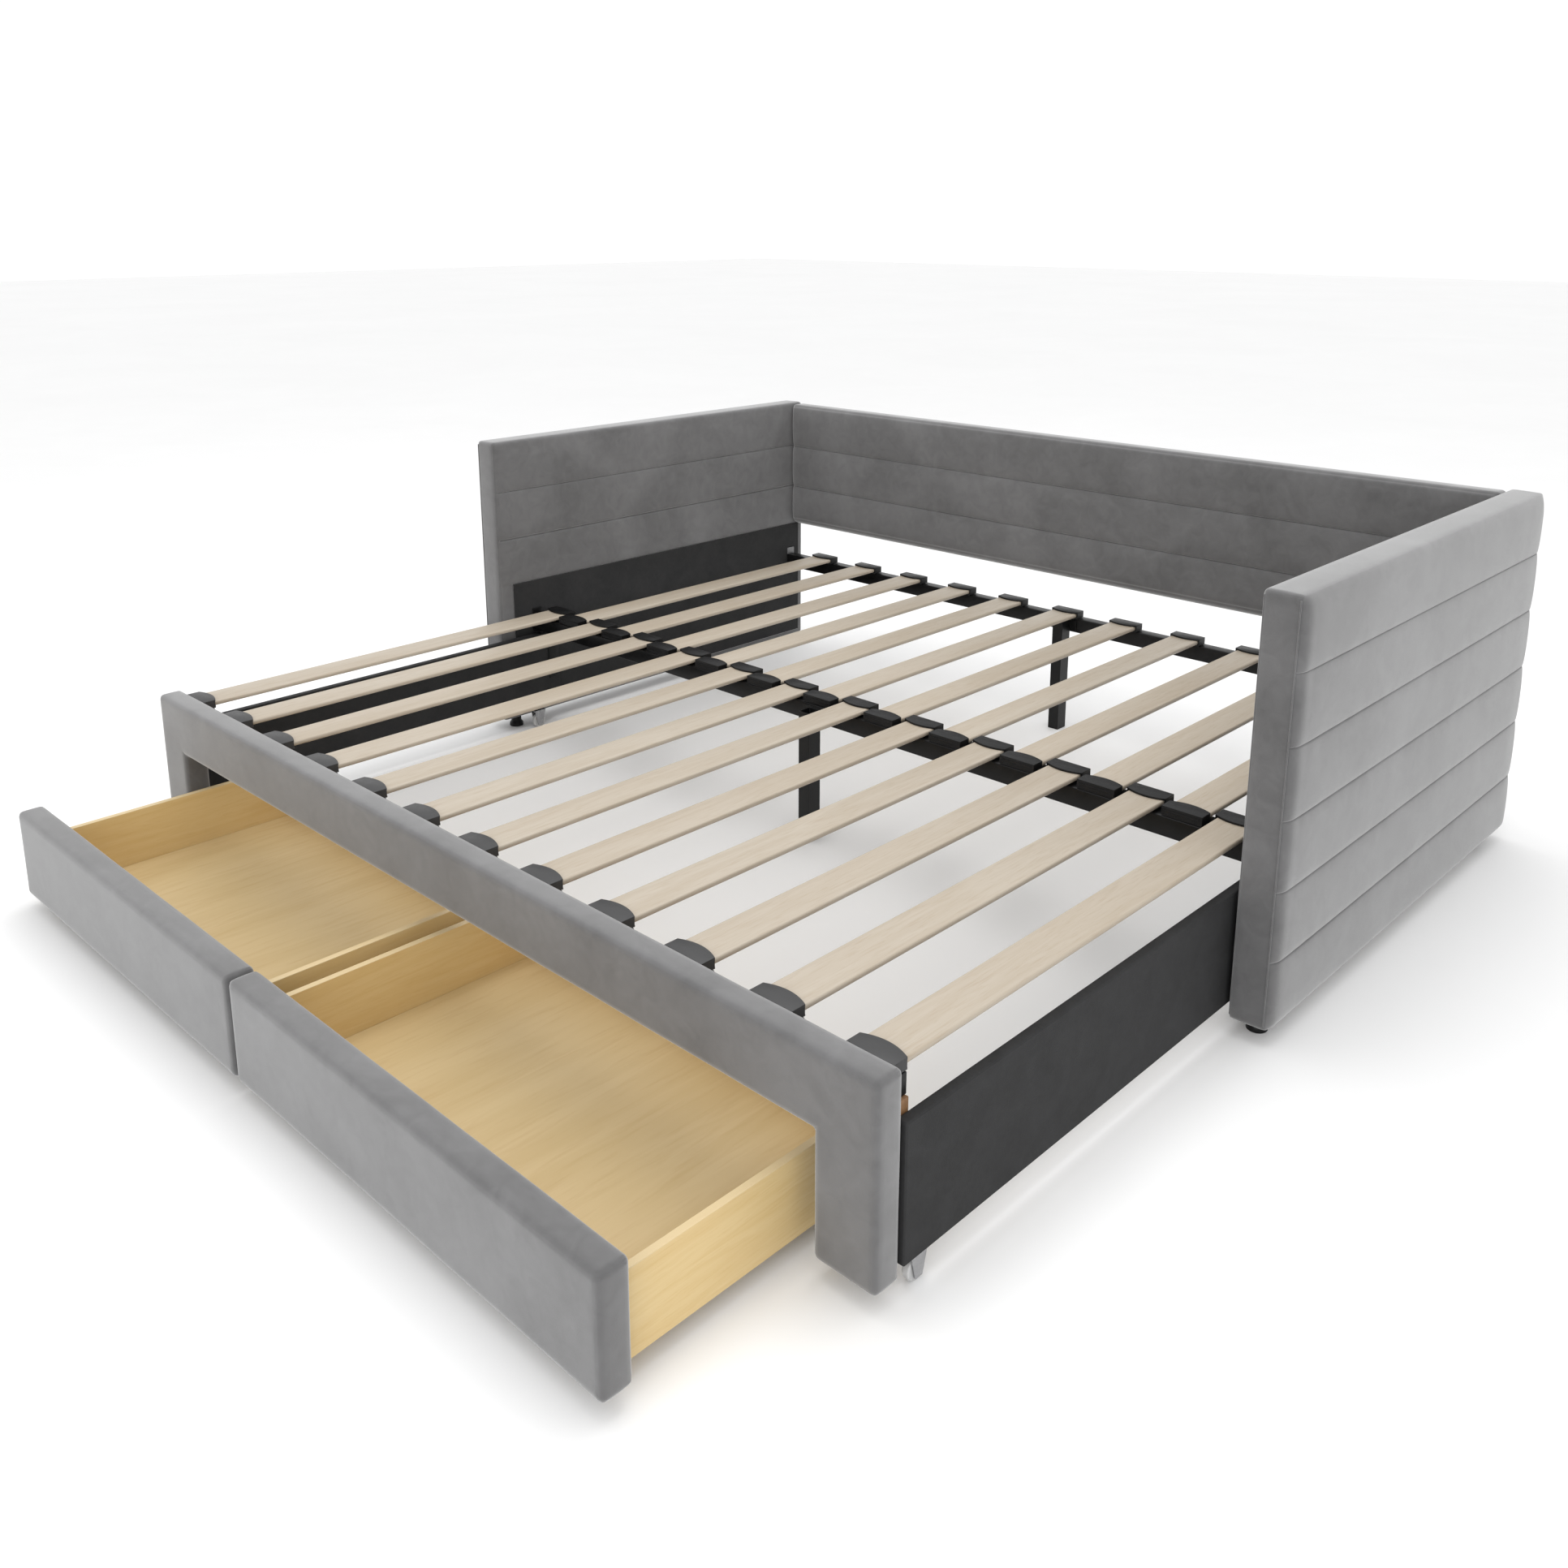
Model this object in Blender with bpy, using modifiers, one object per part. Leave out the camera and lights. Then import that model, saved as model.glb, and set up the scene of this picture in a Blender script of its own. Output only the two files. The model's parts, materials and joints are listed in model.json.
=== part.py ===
"""Upholstered daybed whose front pulls out to double its slatted deck.

The daybed stands on levelling feet: two padded arms, a padded backrest, two steel rails and a
row of fixed slats. The pull-out runs on castors: a padded front panel, two side boards, a steel
sliding rail and a second row of slats that pass between the fixed ones. Two drawers stand on
glides and slide through the opening in the front panel.

Metres, +Z up, +X to the right of someone facing the bed, +Y towards the backrest. The bed stands
pulled out, with both drawers open. The origin is on the floor, at the middle of that footprint.
"""
import math

import bmesh
import bpy
from mathutils import Matrix, Vector

# ---------------------------------------------------------------- driving dimensions
GAP = 0.0003                    # between pieces that touch
CUT_PAST = 0.02                 # how far a cutter runs past the face it opens
SAME_PLACE = 1e-5               # points this close are one point

CLEAR_WIDTH = 2.0406            # between the arms, an 80 inch mattress lying lengthwise
ARM_DEPTH = 1.140
ARM_TOP = 0.773
ARM_BOTTOM = 0.030
ARM_THICKNESS = 0.066           # inner face to the piping of the outer face
CHANNEL_SWELL = 0.0145          # how far the outer channels stand out past the piping
ARM_CORE_THICKNESS = 0.034
ARM_PAD_INNER = 0.0157
ARM_PAD_EDGE = 0.020
LINING_START = 0.045            # from the arm's front face
PAD_EDGE_RADIUS = 0.012

BACK_THICKNESS = 0.050
BACK_BOTTOM = 0.3965
BACK_BELOW_ARM_TOP = 0.003
BACK_REAR_INSET = 0.002         # the backrest's rear face in from the arms' rear faces
BACK_SIDE_CLEARANCE = 0.0008
BACK_PAD = 0.015

SLAT_TOP = 0.3175
SLAT_WIDTH = 0.071
SLAT_THICKNESS = 0.010
SLAT_END_RADIUS = 0.009
SLAT_EDGE_RADIUS = 0.0025
SLAT_SIDE_MARGIN = 0.0320       # from an outermost slat's edge to the arm
MOST_MOVING_SLATS = 12
LEAST_CAP_GAP = 0.007           # between the caps of neighbouring slats, as one row passes the other

CAP_WALL = 0.0035
CAP_FLOOR = 0.0032
CAP_ROOF = 0.0040
CAP_GRIP = 0.026                # how far a cap holds its slat at the slat's edges
CAP_BULGE = 0.010               # how much further it holds the middle
CAP_CLEARANCE = 0.0003
CAP_ARC_STEPS = 8
CAP_SINK = 0.0005               # how far a cap or its foot is sunk into what carries it
CAP_OVER_RAIL = 0.0012          # lets a cap overhang the rail beside its own
CAP_FOOT_HALF = 0.016
CAP_FOOT_INSET = 0.003          # a cap's foot in from its rail's faces
CAP_BEHIND_RAIL = 0.0005        # a cap's back to its rail's face
REAR_CAP_INSET = 0.008          # the rear caps' backs to the rear rail's back face

RAIL_WIDTH = 0.030
RAIL_HEIGHT = 0.038
RAIL_WALL = 0.0015
RAIL_LINE = 0.098               # front face of the fixed front rail, from the arms' fronts
RAIL_TO_RAIL = 0.0012           # between the fixed front rail and the sliding rail at full reach
REAR_RAIL_INSET = 0.072         # front face of the rear rail, from the arms' rear faces
BRACKET_THICKNESS = 0.003
BRACKET_SHELF = 0.032
PLATE_HOLE = 0.008              # half the square hole in a rail's end plate
PLATE_ABOVE_BOARD_BOTTOM = 0.080

LEG_WIDTH = 0.030
LEG_DEPTH = 0.035
LEG_WALL = 0.0015
LEG_PLATE_HALF = 0.034
LEG_PLATE_THICKNESS = 0.003
LEG_PLATE_MARGIN = 0.003
LEG_BELOW_RAIL_TOP = 0.006

FOOT_RADIUS = 0.018
FOOT_NECK_RADIUS = 0.013
FOOT_RIM = 0.008
FOOT_STEPS = 24
FOOT_INSET_FRONT = 0.055
FOOT_INSET_REAR = 0.100

PULL_OUT_REACH = 0.888          # from the arms' fronts to the front panel's front face
PANEL_THICKNESS = 0.050
PANEL_SIDE_CLEARANCE = 0.0073   # from each end of the panel to the plane of an arm's inner face
PANEL_BOTTOM = 0.0265
PANEL_TOP = 0.331
PANEL_LEG = 0.108               # width of the upright each side of the drawer opening
OPENING_TOP = 0.216
OPENING_CORNER = 0.012
PANEL_PAD = 0.014

BOARD_THICKNESS = 0.018
BOARD_ARM_CLEARANCE = 0.0034
BOARD_BOTTOM = 0.0475
BOARD_TOP = 0.254
BOARD_EDGE = 0.002
BOARD_PAST_RAIL = 0.006         # the side boards' rear ends past the sliding rail
LEDGER_THICKNESS = 0.025
LEDGER_HEIGHT = 0.050
LEDGER_TOP = 0.272

DRAWER_OPEN = 0.3365            # how far each drawer stands out of the panel
DRAWER_FRONT_THICKNESS = 0.0495
DRAWER_FRONT_BOTTOM = 0.026
DRAWER_FRONT_TOP = 0.202
DRAWER_FRONT_SIDE_CLEARANCE = 0.007
DRAWER_SPLIT = 0.004            # between the two drawer fronts
DRAWER_BOX_SPLIT = 0.045        # between the two boxes, which pass each side of the middle leg
DRAWER_BOX_INSET = 0.032        # box side behind the end of its front
DRAWER_BOX_BOTTOM = 0.028
DRAWER_BOX_TOP = 0.152
DRAWER_BOX_DEPTH = 0.515
DRAWER_WALL = 0.012
DRAWER_BASE_THICKNESS = 0.005
DRAWER_BASE_RAISE = 0.006
GLIDE_RADIUS = 0.016
GLIDE_FOOT_RADIUS = 0.013
GLIDE_INSET = 0.040

CASTOR_RADIUS = 0.018
CASTOR_WIDTH = 0.012
CASTOR_EDGE = 0.0018            # the wheels' rounded rims
CASTOR_FRONT_INSET = 0.040      # axle behind the panel's rear face
CASTOR_REAR_INSET = 0.075       # axle in front of the side board's rear end
AXLE_RADIUS = 0.003
BORE_CLEARANCE = 0.0004
FORK_PLATE = 0.0022
FORK_SIDE_CLEARANCE = 0.0012
FORK_TOP_LENGTH = 0.034
FORK_FOOT_LENGTH = 0.014
FORK_FLOOR_CLEARANCE = 0.007
ROUND_STEPS = 32

# ---------------------------------------------------------------- derived places
HALF_CLEAR = CLEAR_WIDTH / 2
FRONT_MOST = -PULL_OUT_REACH - DRAWER_OPEN
ORIGIN_Y = -(FRONT_MOST + ARM_DEPTH) / 2      # puts the footprint's middle at the world's origin

SLAT_BOTTOM = SLAT_TOP - SLAT_THICKNESS
CAP_BOTTOM = SLAT_BOTTOM - CAP_CLEARANCE - CAP_FLOOR
CAP_TOP = SLAT_TOP + CAP_CLEARANCE + CAP_ROOF
RAIL_TOP = CAP_BOTTOM - CAP_OVER_RAIL
RAIL_BOTTOM = RAIL_TOP - RAIL_HEIGHT
RAIL_MIDDLE = (RAIL_TOP + RAIL_BOTTOM) / 2
CAP_WIDTH = SLAT_WIDTH + 2 * (CAP_CLEARANCE + CAP_WALL)
SLAT_SPAN = CLEAR_WIDTH - 2 * SLAT_SIDE_MARGIN - SLAT_WIDTH    # between the outermost slats' middles
SLATS_THAT_FIT = 1 + int(SLAT_SPAN / (2 * (CAP_WIDTH + LEAST_CAP_GAP)))
MOVING_SLATS = min(MOST_MOVING_SLATS, SLATS_THAT_FIT)
FIXED_SLATS = MOVING_SLATS - 1
LANE = SLAT_SPAN / (2 * MOVING_SLATS - 2)      # from a moving slat's middle to a fixed one's

PANEL_FRONT_Y = -PULL_OUT_REACH
PANEL_REAR_Y = PANEL_FRONT_Y + PANEL_THICKNESS
PANEL_HALF_WIDTH = HALF_CLEAR - PANEL_SIDE_CLEARANCE
OPENING_HALF = PANEL_HALF_WIDTH - PANEL_LEG

SLIDING_RAIL_LINE = RAIL_LINE + RAIL_WIDTH + RAIL_TO_RAIL
BOARD_OUTER_X = HALF_CLEAR - BOARD_ARM_CLEARANCE
BOARD_INNER_X = BOARD_OUTER_X - BOARD_THICKNESS
BOARD_REAR_Y = SLIDING_RAIL_LINE + RAIL_WIDTH + BOARD_PAST_RAIL
REAR_RAIL_LINE = ARM_DEPTH - REAR_RAIL_INSET

DRAWER_FRONT_Y = PANEL_FRONT_Y - DRAWER_OPEN
DRAWER_BOX_FRONT_Y = DRAWER_FRONT_Y + DRAWER_FRONT_THICKNESS + GAP
DRAWER_OUTER_X = OPENING_HALF - DRAWER_FRONT_SIDE_CLEARANCE

# ---------------------------------------------------------------- a clean scene
for leftover in list(bpy.data.objects):
    bpy.data.objects.remove(leftover, do_unlink=True)

bed = bpy.data.collections.new("daybed_with_pull_out")
cutters = bpy.data.collections.new("cutters")
bpy.context.scene.collection.children.link(bed)
bpy.context.scene.collection.children.link(cutters)


def make_material(name, colour, roughness, metallic=0.0):
    """A Principled material in one finish."""
    mat = bpy.data.materials.new(name)
    mat.use_nodes = True
    shader = mat.node_tree.nodes["Principled BSDF"]
    shader.inputs["Base Color"].default_value = (*colour, 1.0)
    shader.inputs["Roughness"].default_value = roughness
    shader.inputs["Metallic"].default_value = metallic
    return mat


VELVET = make_material("velvet", (0.35, 0.35, 0.355), 0.9)
LINING = make_material("black_lining", (0.03, 0.03, 0.031), 0.9)
CORE_WOOD = make_material("core_board", (0.55, 0.40, 0.25), 0.7)
SLAT_WOOD = make_material("slat_birch", (0.68, 0.60, 0.50), 0.5)
DRAWER_WOOD = make_material("drawer_pine", (0.62, 0.44, 0.22), 0.5)
BLACK_STEEL = make_material("black_steel", (0.015, 0.015, 0.015), 0.45, 0.6)
BLACK_PLASTIC = make_material("black_plastic", (0.012, 0.012, 0.013), 0.5)
ZINC = make_material("bright_zinc", (0.6, 0.6, 0.6), 0.3, 1.0)
WHEEL_PLASTIC = make_material("wheel_plastic", (0.55, 0.55, 0.55), 0.5)


# ---------------------------------------------------------------- joints' empties
def joint_empty(name, place, parent=None):
    """An empty that stands for a joint; its place is given in the bed's own coordinates."""
    empty = bpy.data.objects.new(name, None)
    empty["at"] = tuple(place)
    bed.objects.link(empty)
    if parent:
        empty.parent = parent
        empty.location = Vector(place) - Vector(parent["at"])
    else:
        empty.location = Vector(place) + Vector((0, ORIGIN_Y, 0))
    return empty


DAYBED = joint_empty("daybed_origin", (0, 0, 0))
PULL_OUT = joint_empty("pull_out_slide", (0, PANEL_REAR_Y, PANEL_BOTTOM), DAYBED)


# ---------------------------------------------------------------- modelling helpers
def add_object(name, mesh, place, mat, parent):
    """An object whose mesh is centred on `place`, given in the bed's own coordinates."""
    obj = bpy.data.objects.new(name, mesh)
    bed.objects.link(obj)
    obj.parent = parent
    obj.location = Vector(place) - Vector(parent["at"])
    mesh.materials.append(mat)
    return obj


def mesh_from(bm, name):
    """A mesh from a finished bmesh."""
    mesh = bpy.data.meshes.new(name)
    bm.to_mesh(mesh)
    bm.free()
    return mesh


def box_bmesh(size):
    """A box of the given size about the origin."""
    bm = bmesh.new()
    bmesh.ops.create_cube(bm, size=1.0)
    bmesh.ops.scale(bm, vec=Vector(size), verts=bm.verts)
    return bm


def box(name, low, high, mat, parent, edge=0.0, segments=2):
    """A box between two corners, its edges rounded by `edge`."""
    low, high = Vector(low), Vector(high)
    obj = add_object(name, mesh_from(box_bmesh(high - low), name), (low + high) / 2, mat, parent)
    if edge:
        round_edges(obj, edge, segments)
    return obj


def round_edges(obj, radius, segments=2):
    bevel = obj.modifiers.new("rounded", "BEVEL")
    bevel.width = radius
    bevel.segments = segments
    bevel.limit_method = "ANGLE"
    return bevel


def cutter(low, high, parent, edge=0.0):
    """A box that cuts other pieces and isn't one itself."""
    return hide_as_tool(box("cutter", low, high, VELVET, parent, edge))


def combine(obj, other, operation):
    """Cut `other` from `obj`, or join it on, with a Boolean."""
    boolean = obj.modifiers.new(operation.lower(), "BOOLEAN")
    boolean.operation = operation
    boolean.object = other
    boolean.solver = "EXACT"


def hide_as_tool(obj):
    """Make a piece a cutter, or a piece to be joined on, that isn't a part itself."""
    bed.objects.unlink(obj)
    cutters.objects.link(obj)
    obj.hide_render = True
    obj.display_type = "WIRE"
    return obj


def tool_group(name, meshes_and_places, parent):
    """Copies of some meshes, placed in the bed's own coordinates, as one tool."""
    bm = bmesh.new()
    for mesh, place, turn in meshes_and_places:
        copy = mesh.copy()
        copy.transform(Matrix.Translation(Vector(place) - Vector(parent["at"])) @ turn)
        bm.from_mesh(copy)
        bpy.data.meshes.remove(copy)
    return hide_as_tool(add_object(name, mesh_from(bm, name), parent["at"], BLACK_PLASTIC, parent))


def baked(obj):
    """The piece's mesh in the bed's own coordinates, modifiers applied; the piece is removed."""
    depsgraph = bpy.context.evaluated_depsgraph_get()
    seen = obj.evaluated_get(depsgraph)
    mesh = bpy.data.meshes.new_from_object(seen)
    mesh.transform(DAYBED.evaluated_get(depsgraph).matrix_world.inverted() @ seen.matrix_world)
    mesh.materials.clear()
    bpy.data.objects.remove(obj, do_unlink=True)
    return mesh


def mirrored(side, low, high):
    """The corners of a box given for the right-hand side, on the side asked for."""
    xs = sorted((side * low[0], side * high[0]))
    return (xs[0], *low[1:]), (xs[1], *high[1:])


def drum(radius, width, bore=0.0):
    """A pin along X about the origin, or, where it has a bore, a wheel with rounded rims."""
    bm = bmesh.new()
    bmesh.ops.create_cone(bm, cap_ends=True, segments=ROUND_STEPS, radius1=radius, radius2=radius,
                          depth=width, matrix=Matrix.Rotation(math.pi / 2, 4, "Y"))
    wheel = add_object("drum", mesh_from(bm, "drum"), (0, 0, 0), VELVET, DAYBED)
    if bore:
        hole_bm = bmesh.new()
        bmesh.ops.create_cone(hole_bm, cap_ends=True, segments=ROUND_STEPS, radius1=bore,
                              radius2=bore, depth=width + 2 * CUT_PAST,
                              matrix=Matrix.Rotation(math.pi / 2, 4, "Y"))
        hole = add_object("hole", mesh_from(hole_bm, "hole"), (0, 0, 0), VELVET, DAYBED)
        combine(wheel, hole, "DIFFERENCE")
        round_edges(wheel, CASTOR_EDGE, 1).angle_limit = math.radians(60)
        mesh = baked(wheel)
        bpy.data.objects.remove(hole, do_unlink=True)
        return mesh
    return baked(wheel)


# ---------------------------------------------------------------- arms
def arm(side, name):
    """A board core in a padded cover, with a black lining board let into its inner face."""
    inner = HALF_CLEAR
    outer = inner + ARM_THICKNESS + CHANNEL_SWELL
    core_low = (inner + ARM_PAD_INNER, ARM_PAD_EDGE, ARM_BOTTOM + ARM_PAD_EDGE)
    core_high = (inner + ARM_PAD_INNER + ARM_CORE_THICKNESS, ARM_DEPTH - ARM_PAD_EDGE,
                 ARM_TOP - ARM_PAD_EDGE)
    box(name + "_arm_core", *mirrored(side, core_low, core_high), CORE_WOOD, DAYBED)

    cover = box(name + "_arm_cover", *mirrored(side, (inner, 0, ARM_BOTTOM),
                                               (outer, ARM_DEPTH, ARM_TOP)),
                VELVET, DAYBED, PAD_EDGE_RADIUS)
    grown_low = tuple(c - GAP for c in core_low)
    grown_high = tuple(c + GAP for c in core_high)
    combine(cover, cutter(*mirrored(side, grown_low, grown_high), DAYBED), "DIFFERENCE")
    mouth_low = (inner - CUT_PAST, LINING_START, core_low[2] - GAP)
    mouth_high = ((core_low[0] + core_high[0]) / 2, core_high[1], BACK_BOTTOM)
    combine(cover, cutter(*mirrored(side, mouth_low, mouth_high), DAYBED), "DIFFERENCE")

    lining_low = (inner + GAP, mouth_low[1] + GAP, mouth_low[2] + GAP)
    lining_high = (core_low[0] - GAP, mouth_high[1] - GAP, mouth_high[2] - GAP)
    box(name + "_arm_lining", *mirrored(side, lining_low, lining_high), LINING, DAYBED)


# ---------------------------------------------------------------- backrest
def backrest():
    """A padded panel between the arms, open at the back onto its board core."""
    half = HALF_CLEAR - BACK_SIDE_CLEARANCE
    top = ARM_TOP - BACK_BELOW_ARM_TOP
    rear = ARM_DEPTH - BACK_REAR_INSET
    front = rear - BACK_THICKNESS
    cover = box("backrest_cover", (-half, front, BACK_BOTTOM), (half, rear, top),
                VELVET, DAYBED, PAD_EDGE_RADIUS)
    core_low = (-half + BACK_PAD, front + BACK_PAD, BACK_BOTTOM + BACK_PAD)
    core_high = (half - BACK_PAD, rear - GAP, top - BACK_PAD)
    box("backrest_core", core_low, core_high, CORE_WOOD, DAYBED)
    grown_low = tuple(c - GAP for c in core_low)
    grown_high = (core_high[0] + GAP, rear + CUT_PAST, core_high[2] + GAP)
    combine(cover, cutter(grown_low, grown_high, DAYBED), "DIFFERENCE")


# ---------------------------------------------------------------- rails and legs
def rail(name, face, line, plate_bottom, parent):
    """A steel tube along X with a plate welded to each end and a shelf under it.

    `face` is how far from the middle the plates' outer faces are.
    """
    plate = face - BRACKET_THICKNESS
    low = Vector((-plate - BRACKET_THICKNESS / 2, line, RAIL_BOTTOM))
    high = Vector((plate + BRACKET_THICKNESS / 2, line + RAIL_WIDTH, RAIL_TOP))
    tube = box(name, low, high, BLACK_STEEL, parent)
    inset = Vector((-CUT_PAST, RAIL_WALL, RAIL_WALL))
    combine(tube, cutter(low + inset, high - inset, parent), "DIFFERENCE")
    for side in (-1, 1):
        end_plate = ((plate, line, plate_bottom), (face, line + RAIL_WIDTH, RAIL_TOP))
        shelf = ((plate - BRACKET_SHELF, line, RAIL_BOTTOM - BRACKET_THICKNESS),
                 (face - BRACKET_THICKNESS / 2, line + RAIL_WIDTH, RAIL_BOTTOM + RAIL_WALL / 2))
        for corners in (end_plate, shelf):
            combine(tube, cutter(*mirrored(side, *corners), parent), "UNION")
        centre_y = line + RAIL_WIDTH / 2
        hole = ((plate - BRACKET_THICKNESS, centre_y - PLATE_HOLE, RAIL_MIDDLE - PLATE_HOLE),
                (face + CUT_PAST, centre_y + PLATE_HOLE, RAIL_MIDDLE + PLATE_HOLE))
        combine(tube, cutter(*mirrored(side, *hole), parent), "DIFFERENCE")
    return tube


def centre_leg(name, line):
    """A tube from the floor up the front of a rail, on a plate bolted to the rail."""
    rear = line - GAP
    low = Vector((-LEG_WIDTH / 2, rear - LEG_PLATE_THICKNESS - LEG_DEPTH, 0))
    high = Vector((LEG_WIDTH / 2, rear - LEG_PLATE_THICKNESS / 2, RAIL_TOP - LEG_BELOW_RAIL_TOP))
    leg = box(name, low, high, BLACK_STEEL, DAYBED)
    inset = Vector((LEG_WALL, LEG_WALL, -CUT_PAST))
    inside_high = high - Vector((LEG_WALL, LEG_PLATE_THICKNESS, -CUT_PAST))
    combine(leg, cutter(low + inset, inside_high, DAYBED), "DIFFERENCE")
    plate_low = (-LEG_PLATE_HALF, rear - LEG_PLATE_THICKNESS, RAIL_BOTTOM + LEG_PLATE_MARGIN)
    plate_high = (LEG_PLATE_HALF, rear, RAIL_TOP - LEG_PLATE_MARGIN)
    combine(leg, cutter(plate_low, plate_high, DAYBED), "UNION")


def levelling_feet():
    """A turned plastic foot under each end of each arm."""
    bm = bmesh.new()
    height = ARM_BOTTOM - GAP
    outline = [(0, height), (FOOT_NECK_RADIUS, height), (FOOT_NECK_RADIUS, height / 2),
               (FOOT_RADIUS, FOOT_RIM), (FOOT_RADIUS, 0), (0, 0)]
    points = [bm.verts.new((x, 0, z)) for x, z in outline]
    for first, second in zip(points, points[1:]):
        bm.edges.new((first, second))
    foot = add_object("foot", mesh_from(bm, "foot"), (0, 0, 0), BLACK_PLASTIC, DAYBED)
    turn = foot.modifiers.new("turned", "SCREW")
    turn.steps = turn.render_steps = FOOT_STEPS
    turn.use_merge_vertices = True
    turn.merge_threshold = 0.0001
    mesh = baked(foot)
    x = HALF_CLEAR + ARM_PAD_INNER + ARM_CORE_THICKNESS / 2
    for side, side_name in ((-1, "left"), (1, "right")):
        for y, end_name in ((FOOT_INSET_FRONT, "front"), (ARM_DEPTH - FOOT_INSET_REAR, "rear")):
            add_object(f"levelling_foot_{end_name}_{side_name}", mesh.copy(), (side * x, y, 0),
                       BLACK_PLASTIC, DAYBED)


# ---------------------------------------------------------------- slats and their caps
def slat_mesh(length):
    """A slat along Y with rounded corners and softened long edges."""
    bm = box_bmesh((SLAT_WIDTH, length, SLAT_THICKNESS))
    upright = [e for e in bm.edges if abs(e.verts[0].co.z - e.verts[1].co.z) > SAME_PLACE]
    bmesh.ops.bevel(bm, geom=upright, offset=SLAT_END_RADIUS, segments=3, affect="EDGES",
                    profile=0.5, material=-1)
    level = [e for e in bm.edges if abs(e.verts[0].co.z - e.verts[1].co.z) < SAME_PLACE]
    bmesh.ops.bevel(bm, geom=level, offset=SLAT_EDGE_RADIUS, segments=1, affect="EDGES",
                    profile=0.5, material=-1)
    return mesh_from(bm, "slat")


def cap_mesh(bottom, grip=CAP_GRIP):
    """A cap for a slat's front end: its mouth, an arc, faces +Y, and its back is at y = 0."""
    half = CAP_WIDTH / 2
    reach = CAP_WALL + grip
    arc = []
    for step in range(CAP_ARC_STEPS + 1):
        t = 2 * step / CAP_ARC_STEPS - 1
        arc.append((half * t, reach + CAP_BULGE * (1 - t * t)))
    curve = bpy.data.curves.new("cap", "CURVE")
    curve.dimensions = "2D"
    curve.fill_mode = "BOTH"
    curve.extrude = (CAP_TOP - bottom) / 2
    outline = curve.splines.new("POLY")
    corners = [(half, 0), (-half, 0)] + arc
    outline.points.add(len(corners) - 1)
    for point, (x, y) in zip(outline.points, corners):
        point.co = (x, y, 0, 1)
    outline.use_cyclic_u = True
    drawn = bpy.data.objects.new("cap", curve)
    bed.objects.link(drawn)
    depsgraph = bpy.context.evaluated_depsgraph_get()
    mesh = bpy.data.meshes.new_from_object(drawn.evaluated_get(depsgraph))
    bpy.data.objects.remove(drawn, do_unlink=True)
    bm = bmesh.new()
    bm.from_mesh(mesh)
    bmesh.ops.remove_doubles(bm, verts=bm.verts, dist=SAME_PLACE)
    bmesh.ops.translate(bm, verts=bm.verts, vec=(0, 0, (CAP_TOP + bottom) / 2))
    bmesh.ops.recalc_face_normals(bm, faces=bm.faces)
    body = add_object("cap", mesh_from(bm, "cap"), (0, 0, 0), BLACK_PLASTIC, DAYBED)
    pocket_half = SLAT_WIDTH / 2 + CAP_CLEARANCE
    combine(body, cutter((-pocket_half, CAP_WALL, SLAT_BOTTOM - CAP_CLEARANCE),
                         (pocket_half, reach + CAP_BULGE + CUT_PAST, SLAT_TOP + CAP_CLEARANCE),
                         DAYBED), "DIFFERENCE")
    return baked(body)


FACING_BACK = Matrix.Identity(4)
FACING_FRONT = Matrix.Rotation(math.pi, 4, "Z")


def lane_places(count, line):
    """Where the slats of a row meet a line."""
    return [((index - (count - 1) / 2) * 2 * LANE, line, 0) for index in range(count)]


def slat_row(name, count, start, end, parent):
    """A row of slats between the backs of their caps."""
    held = CAP_WALL + CAP_CLEARANCE
    for index, (x, _, _) in enumerate(lane_places(count, start)):
        add_object(f"{name}_slat_{index + 1:02d}", slat_mesh(end - start - 2 * held),
                   (x, (start + end) / 2, (SLAT_TOP + SLAT_BOTTOM) / 2), SLAT_WOOD, parent)


def join_caps(support, count, line, turn, bottom, parent):
    """Fix a row of caps to what carries them."""
    cap = cap_mesh(bottom)
    places = [(cap, place, turn) for place in lane_places(count, line)]
    combine(support, tool_group("caps", places, parent), "UNION")


def join_caps_on_rail(tube, rail_line, count, line, turn, parent):
    """Fix a row of caps to a rail, each on a foot that lifts it clear of the rail beside."""
    join_caps(tube, count, line, turn, CAP_BOTTOM, parent)
    foot = mesh_from(box_bmesh((2 * CAP_FOOT_HALF, RAIL_WIDTH - 2 * CAP_FOOT_INSET,
                                CAP_OVER_RAIL + 2 * CAP_SINK)), "foot")
    middle = Vector((0, rail_line + RAIL_WIDTH / 2, (RAIL_TOP + CAP_BOTTOM) / 2))
    feet = [(foot, middle + Vector((x, 0, 0)), FACING_BACK) for x, _, _ in lane_places(count, 0)]
    combine(tube, tool_group("cap_feet", feet, parent), "UNION")


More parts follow.
